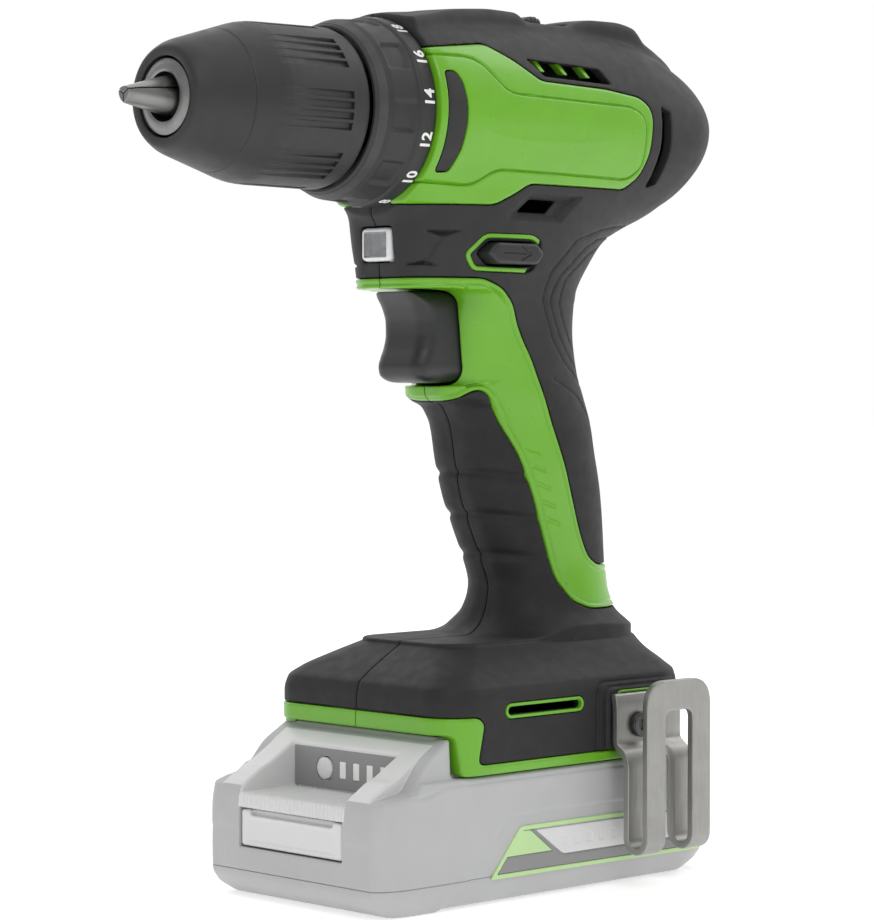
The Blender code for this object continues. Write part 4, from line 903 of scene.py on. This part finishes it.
def controls():
    def blade(x, y, z):
        across = np.abs(y)
        d = smax(TRIGGER(x, z), trigger_section(y, z, 0), 1.4)
        lead = curve(z, TRIGGER_FRONT)
        d = smax(d, np.hypot(np.maximum(lead + 5.2 - x, 0), np.maximum(across - 4.8, 0)) - 5.2, 0.8)
        return smax(d, -(np.maximum(np.hypot(y, z - 158) - 4.6, -21 - x)), 0.4)
    made = solid("trigger_blade", blade, (-36, -12.8, 141.5), (-9.5, 12.8, 170), 0.3, CHARCOAL_SMOOTH)
    place(made, "trigger_body", "control_plastic", "trigger")

    lever = Stencil(((-20.5, 179.2), (-17, 182.2), (-1, 182.2), (1.8, 179.2), (-1, 176.2), (-17, 176.2)), 1.2)
    shaft = Stencil(((-15, 179.2), (-3.8, 179.2)), 0.1, closed=False)
    head = Stencil(((-7.6, 181.0), (-3.8, 179.2), (-7.6, 177.4)), 0.2, closed=False)

    def bar(x, y, z):
        across = np.abs(y)
        mark = 0.4 * step_down(np.minimum(shaft(x, z), head(x, z)) - 0.22, 0.25)
        return smax(lever(x, z), across - 25.4 + mark, 1.2)
    made = solid("lever_bar", bar, (-21.5, -26, 175), (3, 26, 183.5), 0.2, CHARCOAL_SMOOTH)
    place(made, "lever", "control_plastic", "direction_lever")

    knob_side = Stencil(((9.4, 242.6), (9.4, 245.8), (10.6, 246.3), (12.2, 248.3), (14.5, 248.7),
                         (16.8, 248.3), (18.4, 246.3), (20.4, 245.8), (20.4, 242.6)), 1.0)

    def knob(x, y, z):
        ridge = 0.35 * step_down(np.abs(((x + 500) % 1.6) - 0.8) - 0.35, 0.3) * (z > 246.6)
        return smax(knob_side(x, z) + ridge, np.abs(y) - 8.4, 1.0)
    made = solid("selector_knob", knob, (8.8, -9, 242), (21, 9, 249.4), 0.25, CHARCOAL_SMOOTH)
    place(made, "selector", "control_plastic", "speed_selector")

    def lens(x, y, z):
        d = brick(x, y, z, (-40.4, -5.9, 176.9), (-33.2, 5.9, 186.3), 1.6)
        return smax(d, -brick(x, y, z, (-44, -4.6, 178.0), (-39.9, 4.6, 185.2), 0.6), 0.3)
    made = solid("lamp_lens", lens, (-41.4, -6.6, 176), (-32.6, 6.6, 187), 0.2, CLEAR)
    second_finish(made, LENS_RIM,
                  lambda x, y, z: (x < -37) & ((np.abs(y) > 4.6) | (np.abs(z - 181.6) > 3.6)))
    place(made, "housing", "clear_lens", "led_lens")
    seat = solid("lamp_seat", lambda x, y, z: np.minimum(
        brick(x, y, z, (-33.1, -5.8, 177.0), (-32.2, 5.8, 186.2), 0.3),
        brick(x, y, z, (-33.9, -1.1, 180.6), (-32.9, 1.1, 182.6), 0.2)), (-34.4, -6.4, 176.4),
        (-31.8, 6.4, 186.8), 0.2, PALE_LIGHT)
    place(seat, "housing", "control_plastic")


def belt_clip():
    """Bent sheet steel: base plate, double bend, and an outer tongue with a long slot."""
    middle = [(-39.4, 54.2), (-39.9, 52.0), (-39.9, 41.0), (-41.2, 39.4), (-43.1, 38.2), (-44.2, 36.0),
              (-44.2, 14.6)]
    middle += [(-47.8 + 3.6 * math.cos(a), 14.6 - 3.6 * math.sin(a)) for a in
               (math.pi * s / 12 for s in range(1, 12))]
    middle += [(-51.4, 14.6), (-51.4, 60.0)]
    path = Stencil(middle, 1.6, closed=False, margin=4.0)

    def field(x, y, z):
        sheet = path(y, z) - 1.0
        plate = smax(np.abs(x - 28.5) - 13.4, np.abs(z - 30) - 29.2, 8.0)
        base = np.maximum(np.abs(x - 28.5) - 13.4, z - 55)
        width = np.where(y < -45.5, plate, base)
        slot = brick(x, y, z, (22.9, -60, -5), (34.1, -42.7, 50.5), 2.6)
        hole = np.hypot(x - 24, z - 46) - 2.0
        d = smax(sheet, width, 0.35)
        d = smax(d, -slot, 0.35)
        return smax(d, -np.maximum(hole, -43 - y), 0.3)
    made = solid("clip_sheet", field, (14, -53, 9), (43, -37.5, 60.5), 0.3, CLIP_STEEL)
    place(made, "housing", "clip_steel", "belt_clip")


def star_screw(name, body, node, x, y, z, radius, depth, length, shank, direction, slot="screw_steel"):
    """A pan head screw with a six-lobed socket, along Y; direction is the way its head faces."""
    def field(u, v, w):
        out = (v - y) * direction
        r = np.hypot(u - x, w - z)
        turn = np.arctan2(w - z, u - x)
        head = smax(r - radius, out - depth + 0.05 * r * r / radius, 0.5)
        head = smax(head, -out, 0.2)
        thread = r - shank - 0.15 * np.abs(((out * 1.1) % 1.0) - 0.5)
        d = smin(head, smax(thread, np.maximum(out, -length - out), 0.3), 0.2)
        star = r - radius * (0.42 + 0.09 * np.cos(6 * turn))
        return smax(d, -np.maximum(star, depth * 0.35 - out), 0.15)
    reach = radius + 0.6
    ends = sorted((y - direction * (length + 0.6), y + direction * (depth + 0.6)))
    made = solid(name, field, (x - reach, ends[0], z - reach), (x + reach, ends[1], z + reach), 0.2,
                 DARK_STEEL)
    return place(made, body, slot, node)


# ---- battery pack ----

PACK_ROWS = ((0, -64.6, 30, -57, 33.8, 46, 55, 24), (1.2, -66.6, 30.6, -58, 34.8, 47, 57, 24),
             (4, -70.4, 31.5, -59, 36.4, 49, 62, 24), (7.4, -72.2, 31.5, -60, 37.3, 50, 64.4, 24),
             (14, -72.3, 31.5, -60, 37.5, 50, 64.4, 24), (22, -72.1, 31.5, -60, 37.5, 50, 63.6, 24),
             (27, -71.9, 31.5, -60, 37.4, 48, 59.4, 24), (30.5, -71.2, 31.5, -60, 37.3, 48, 59.2, 24),
             (33.6, -66.8, 30.5, -57, 37.2, 48, 58.8, 24), (35.7, -63.4, 29, -55, 36.2, 47, 57.4, 23))
PACK_SPLIT = 8.0            # level of the seam between tray and cover
CHEEK = Stencil(((-74, 20), (-69.8, 29), (-69.3, 31.7), (-44.4, 46.3), (-43.9, 46.3), (-43.9, 20)), 0.8)
SCOOP = Stencil(((-80, 30.6), (-70.8, 31.4), (-59.3, 33.1), (-54.4, 39.2), (-49, 45.7), (-49, 60),
                 (-80, 60)), 1.5)
FACET = Stencil(((-78, -4), (-53, -4), (-22.8, 25.0), (70, 23.8), (70, 60), (-78, 60)), 1.5)
SHOULDER_LINE = Stencil(((-66, 33.7), (-61.5, 32.2), (-57, 31.7), (-52.6, 32.7), (-49.4, 34.1),
                         (62, 34.1)), 2.0, closed=False)
SCOOP_WALL = 30.0           # half width of the cheeks above the scoops
SHELF_WALL = 21.4           # half width between the cheeks
SHELF_TOP = 29.6
SHELF_REAR = -51.6
GAUGE_Y, GAUGE_Z = 8.0, 35.6
LABEL = Stencil(((-32.6, 6.9), (-20.3, 21.2), (40.6, 21.0), (54.6, 12.0), (54.6, 6.6)), 1.6)
LABEL_PLATE = Stencil(((-14.6, 19.4), (48, 19.0), (51.5, 11.4), (-3.3, 11.4)), 0.8)
LABEL_FLAG = Stencil(((-26.2, 12.9), (-19.9, 19.6), (-16.2, 19.4), (-7.6, 12.9)), 0.6)


def pack_outside(x, y, z):
    return levelled(lambda a, b, c: plan(a, b, c, PACK_ROWS, 35.7), x, y, z, dz=0.4)


def pack_side(x, y, z):
    """The pack's outside with the facet moulded into its flanks."""
    d = pack_outside(x, y, z)
    flank = step_down(30 - np.abs(y), 2.0)
    d = d + 0.45 * flank * (1 - step_down(FACET(x, z), 1.0)) * step_down(z - 24.5, 1.5)
    return d + flank * trough(SHOULDER_LINE(x, z), 0.4, 0.4)


def tray_field(x, y, z):
    across = np.abs(y)
    d = smax(pack_side(x, y, z), z - PACK_SPLIT, 0.12)
    d = smax(d, -brick(x, across, z, (-54.6, -40, 2.4), (60.4, 33.2, 40), 1.0), 0.3)
    d = smax(d, -brick(x, across, z, (-66, -40, 2.4), (-50, 24, 40), 1.0), 0.3)
    foot = np.hypot(np.abs(x) - 44, across - 27) - 5.0
    return smax(d, -np.maximum(np.abs(foot) - 0.5, z - 0.5), 0.2)


def cover_field(x, y, z):
    across = np.abs(y)
    shoulder = smax(pack_side(x, y, z), PACK_SPLIT + 0.05 - z, 0.12)
    tower = smax(smax(np.maximum(-44.4 - x, x - 43.4), across - 33 + np.maximum(-40 - x, 0) * 1.1, 1.0),
                 np.maximum(z - 46.7, 30 - z), 0.8)
    around = plan(x, y, np.clip(z, 26.5, 27.0), PACK_ROWS, 60.0)
    cheeks = smax(CHEEK(x, z), smax(around + 0.1, across - 34.8 + (z - 30) * 0.05, 1.2), 1.2)
    d = smin(shoulder, tower, 0.6)
    d = smin(d, cheeks, 1.2)
    d = smax(d, -brick(x, across, z, (-41.4, 30.7, 39.7), (70, 50, 43.7), 0.3), 0.3)
    d = smax(d, -brick(x, across, z, (-41.4, 33.3, 36.0), (70, 50, 39.8), 0.3), 0.3)
    shelf = np.maximum(np.maximum(across - SHELF_WALL, x - SHELF_REAR), SHELF_TOP - z)
    d = smax(d, -shelf, 0.8)
    rib = 0.3 * step_down(np.abs(((y + 500) % 1.5) - 0.75) - 0.35, 0.3) * (across < 21) * (x < -50)
    d = d + rib * (z < SHELF_TOP + 1) * (z > 25.6)
    d = smax(d, -np.maximum(SCOOP(x, z), SCOOP_WALL - across), 0.8)
    d = smax(d, -brick(x, across, z, (-80, -40, 14.4), (-60, 21.2, 25.4), 0.5), 0.3)
    d = smax(d, -brick(x, across, z, (-54.6, -40, 5), (56.4, 33.2, 27.6), 0.6), 0.3)
    d = smax(d, -brick(x, across, z, (-66.2, -40, 5), (-50, 23.6, 26.6), 0.6), 0.3)
    d = smax(d, -brick(x, across, z, (-41, -40, 20), (15, 28, 44.6), 0.6), 0.3)
    for centre in (-8.0, 0.0, 8.0):
        d = smax(d, -brick(x, y, z, (17.2, centre - 2.2, 37.6), (70, centre + 2.2, 60), 0.4), 0.3)
    d = smax(d, -brick(x, across, z, (17.2, -40, 43.0), (70, 15.5, 60), 0.4), 0.3)
    return smax(d, -np.maximum(np.hypot(y - GAUGE_Y, z - GAUGE_Z) - 3.35, np.abs(x + 47) - 7), 0.3)


def light_faces(x, y, z):
    """The parts of the cover given the lighter grey as painted highlight: the shelf, the walls beside it and
    the tops of the cheeks, the faces turned up to the lamps.
    """
    across = np.abs(y)
    shelf = (x < SHELF_REAR + 0.5) & (across < SHELF_WALL + 0.3) & (z > 25.6)
    tops = (x < -46.8) & (across < SCOOP_WALL + 0.3) & (z > 31.2)
    return shelf | tops


def label_border(x, y, z):
    edge = LABEL(x, z)
    ring = np.maximum(edge + 0.3, -(edge + 1.5))
    both = np.minimum(ring, LABEL_FLAG(x, z))
    return smax(both, np.abs(y - 37.15) - 0.3, 0.2)


def label_back(x, y, z):
    edge = LABEL(x, z) + 1.6
    back = np.maximum(edge, -(LABEL_FLAG(x, z) - 0.1))
    back = np.maximum(back, -(LABEL_PLATE(x, z) - 0.1))
    return smax(back, np.abs(y - 37.05) - 0.3, 0.2)


def label_window(x, y, z):
    """The plate on the label, with a row of plain marks where the real one has print."""
    marks = np.maximum(np.abs(((x + 500) % 5.0) - 2.5) - 1.1, np.abs(z - 15.2) - 1.3)
    return smax(LABEL_PLATE(x, z) + 0.15, np.abs(y - 37.1) - 0.3 + 0.15 * step_down(marks, 0.3), 0.2)


LABEL_PARTS = (("border", label_border, (-34, 36.6, 5.8), (56, 37.8, 22.4), 0.25, LABEL_GREEN),
               ("back", label_back, (-34, 36.5, 5.8), (56, 37.8, 22.4), 0.3, PALE_DARK),
               ("window", label_window, (-16, 36.5, 10.6), (53, 37.8, 20.2), 0.25, PALE_LIGHT))


def battery():
    made = solid("pack_tray", tray_field, (-73.5, -38.5, -0.8), (65.5, 38.5, 9.2), PACK_STEP, PALE)
    place(made, "battery", "pack_plastic", "battery_tray")
    made = solid("pack_cover", cover_field, (-73.5, -38.5, 7), (65.5, 38.5, 48), PACK_STEP, PALE)
    # painted highlight: the cover's upward faces get the lighter grey
    second_finish(made, PALE_LIGHT, light_faces)
    place(made, "battery", "pack_plastic", "battery_cover")

    def latch(x, y, z):
        face = 0.25 * step_down(np.abs(z - 19.4) - 3.2, 1.0) * step_down(np.abs(y) - 18, 1.5)
        d = brick(x, y, z, (-71.8, -20.8, 14.8), (-61.4, 20.8, 25.0), 1.0) + face * (x < -69.4)
        return smax(d, -brick(x, y, z, (-80, -17, 23.4), (-70.4, 17, 30), 1.0), 0.5)
    made = solid("latch_block", latch, (-72.6, -22, 14), (-60.8, 22, 25.8), 0.3, PALE_LIGHT)
    place(made, "latch", "pack_latch_plastic", "battery_latch")
    gauge = turned("gauge_cap", ((-52.7, 0.001), (-52.7, 2.2), (-52.5, 2.7), (-52.1, 3.05), (-44.6, 3.1),
                                 (-44.6, 0.001)), PALE_LIGHT, 64, centre=(GAUGE_Y, GAUGE_Z))
    place(gauge, "button", "pack_latch_plastic", "gauge_button")
    plate = solid("gauge_plate", lambda x, y, z: np.maximum(
        brick(x, y, z, (-51.95, -20.9, 30.0), (-51.55, 20.9, 41.2), 0.3),
        3.6 - np.hypot(y - GAUGE_Y, z - GAUGE_Z)), (-52.6, -21.6, 29.4), (-51.0, 21.6, 42), 0.2, PALE_DARK)
    place(plate, "battery", "pack_plastic")
    for i in range(4):
        y = 0.5 - 5.5 * i
        bar = solid(f"gauge_bar_{i + 1}", lambda a, b, c, y=y: brick(
            a, b, c, (-52.2, y - 1.2, 33.3), (-51.8, y + 1.2, 38.0), 0.25),
            (-52.7, y - 1.7, 32.8), (-51.3, y + 1.7, 38.5), 0.15, WHITE)
        place(bar, "battery", "pack_plastic")
    for name, side in SIDES:
        for part, field, low, high, step, material in LABEL_PARTS:
            made = solid(f"{name}_label_{part}", field, low, high, step, material, flip=side < 0)
            place(made, "battery", "pack_plastic")


# ---- CAD pieces that stay ----

INSIDE = {
    RUBBER_LEAD: ("wiring_harness",), BOARD: ("controller_board", "battery_board"),
    COPPER: ("stator_winding",), IRON: ("motor_stator", "motor_rotor"),
    BLACK: ("gearbox_case", "motor_plate", "cooling_fan", "switch_module", "terminal_block"),
    STEEL: ("chuck_nut", "chuck_screw", "clutch_nut", "clutch_spring", "ring_gear", "planet_carrier",
            "planet_1", "planet_2", "planet_3", "spindle_bearing", "rear_bearing", "trigger_spring",
            "latch_spring"),
    WRAP: tuple(f"cell_{n}" for n in range(1, 7)),
}


def inside():
    for material, names in INSIDE.items():
        for name in names:
            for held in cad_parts[name].material_slots:
                held.material = material


# ---- studio ----

CAMERA_AT = (-0.62288, -0.63040, 0.14550)       # metres
CAMERA_TOWARD = (0.6931, 0.7203, -0.0279)


def studio():
    floor = moulded("studio_floor", (0.86, 0.86, 0.86), 0.85, 300, 0.0, 0.01, 0.2)
    shader = floor.node_tree.nodes["Principled BSDF"]
    shader.inputs["Emission Color"].default_value = (1, 1, 1, 1)
    shader.inputs["Emission Strength"].default_value = 0.45
    mesh = bpy.data.meshes.new("floor")
    shape = bmesh.new()
    bmesh.ops.create_grid(shape, x_segments=1, y_segments=1, size=6.0)
    shape.to_mesh(mesh)
    shape.free()
    ground = bpy.data.objects.new("floor", mesh)
    mesh.materials.append(floor)
    bpy.context.scene.collection.objects.link(ground)

    world = bpy.data.worlds.new("studio")
    world.use_nodes = True
    tree = world.node_tree
    direction = tree.nodes.new("ShaderNodeTexCoord")
    toward = tree.nodes.new("ShaderNodeVectorMath")
    toward.operation = "DOT_PRODUCT"
    toward.inputs[1].default_value = (*CAMERA_TOWARD[:2], 0.0)
    fade = tree.nodes.new("ShaderNodeMapRange")
    fade.interpolation_type = "SMOOTHSTEP"
    for socket, value in (("From Min", -0.2), ("From Max", 0.8), ("To Min", 0.5), ("To Max", 1.0)):
        fade.inputs[socket].default_value = value
    tree.links.new(direction.outputs["Generated"], toward.inputs[0])
    tree.links.new(toward.outputs["Value"], fade.inputs["Value"])
    tree.links.new(fade.outputs["Result"], tree.nodes["Background"].inputs["Strength"])
    tree.nodes["Background"].inputs["Color"].default_value = (1, 1, 1, 1)
    bpy.context.scene.world = world

    def lamp(name, place, target, width, height, watts):
        light = bpy.data.lights.new(name, "AREA")
        light.shape = "RECTANGLE"
        light.size, light.size_y = width, height
        light.energy = watts
        made = bpy.data.objects.new(name, light)
        made.location = place
        made.rotation_euler = (Vector(target) - Vector(place)).to_track_quat("-Z", "Y").to_euler()
        bpy.context.scene.collection.objects.link(made)
    lamp("key", (-0.5, -0.9, 1.2), (0, 0, 0.15), 0.8, 0.6, 5.0)
    lamp("top", (0.1, 0.1, 1.3), (0, 0, 0.1), 1.0, 1.0, 2.0)
    lamp("rim", (0.8, -0.2, 0.7), (0, 0, 0.15), 0.5, 0.8, 2.0)
    lamp("back", (0.2, 1.1, 0.8), (0, 0, 0.15), 1.0, 0.8, 2.0)

    lens = bpy.data.cameras.new("camera")
    lens.sensor_width = 36
    lens.lens = 120.4
    camera = bpy.data.objects.new("camera", lens)
    camera.location = CAMERA_AT
    camera.rotation_euler = Vector(CAMERA_TOWARD).to_track_quat("-Z", "Y").to_euler()
    bpy.context.scene.collection.objects.link(camera)
    bpy.context.scene.camera = camera
    bpy.context.scene.view_settings.view_transform = "Standard"


studio()
chuck()
collar()
controls()
belt_clip()
star_screw("clip_screw_head", "housing", "belt_clip_screw", 24, -41.2, 46, 3.6, 1.7, 6.4, 1.5, -1)
for index, (sx, sz, reach) in enumerate(SCREWS):
    star_screw(f"shell_screw_{index + 1}", "housing", f"housing_screw_{index + 1}", sx, reach - 5.8, sz,
               2.5, 2.2, 14, 1.4, 1)
battery()
housings()
inside()
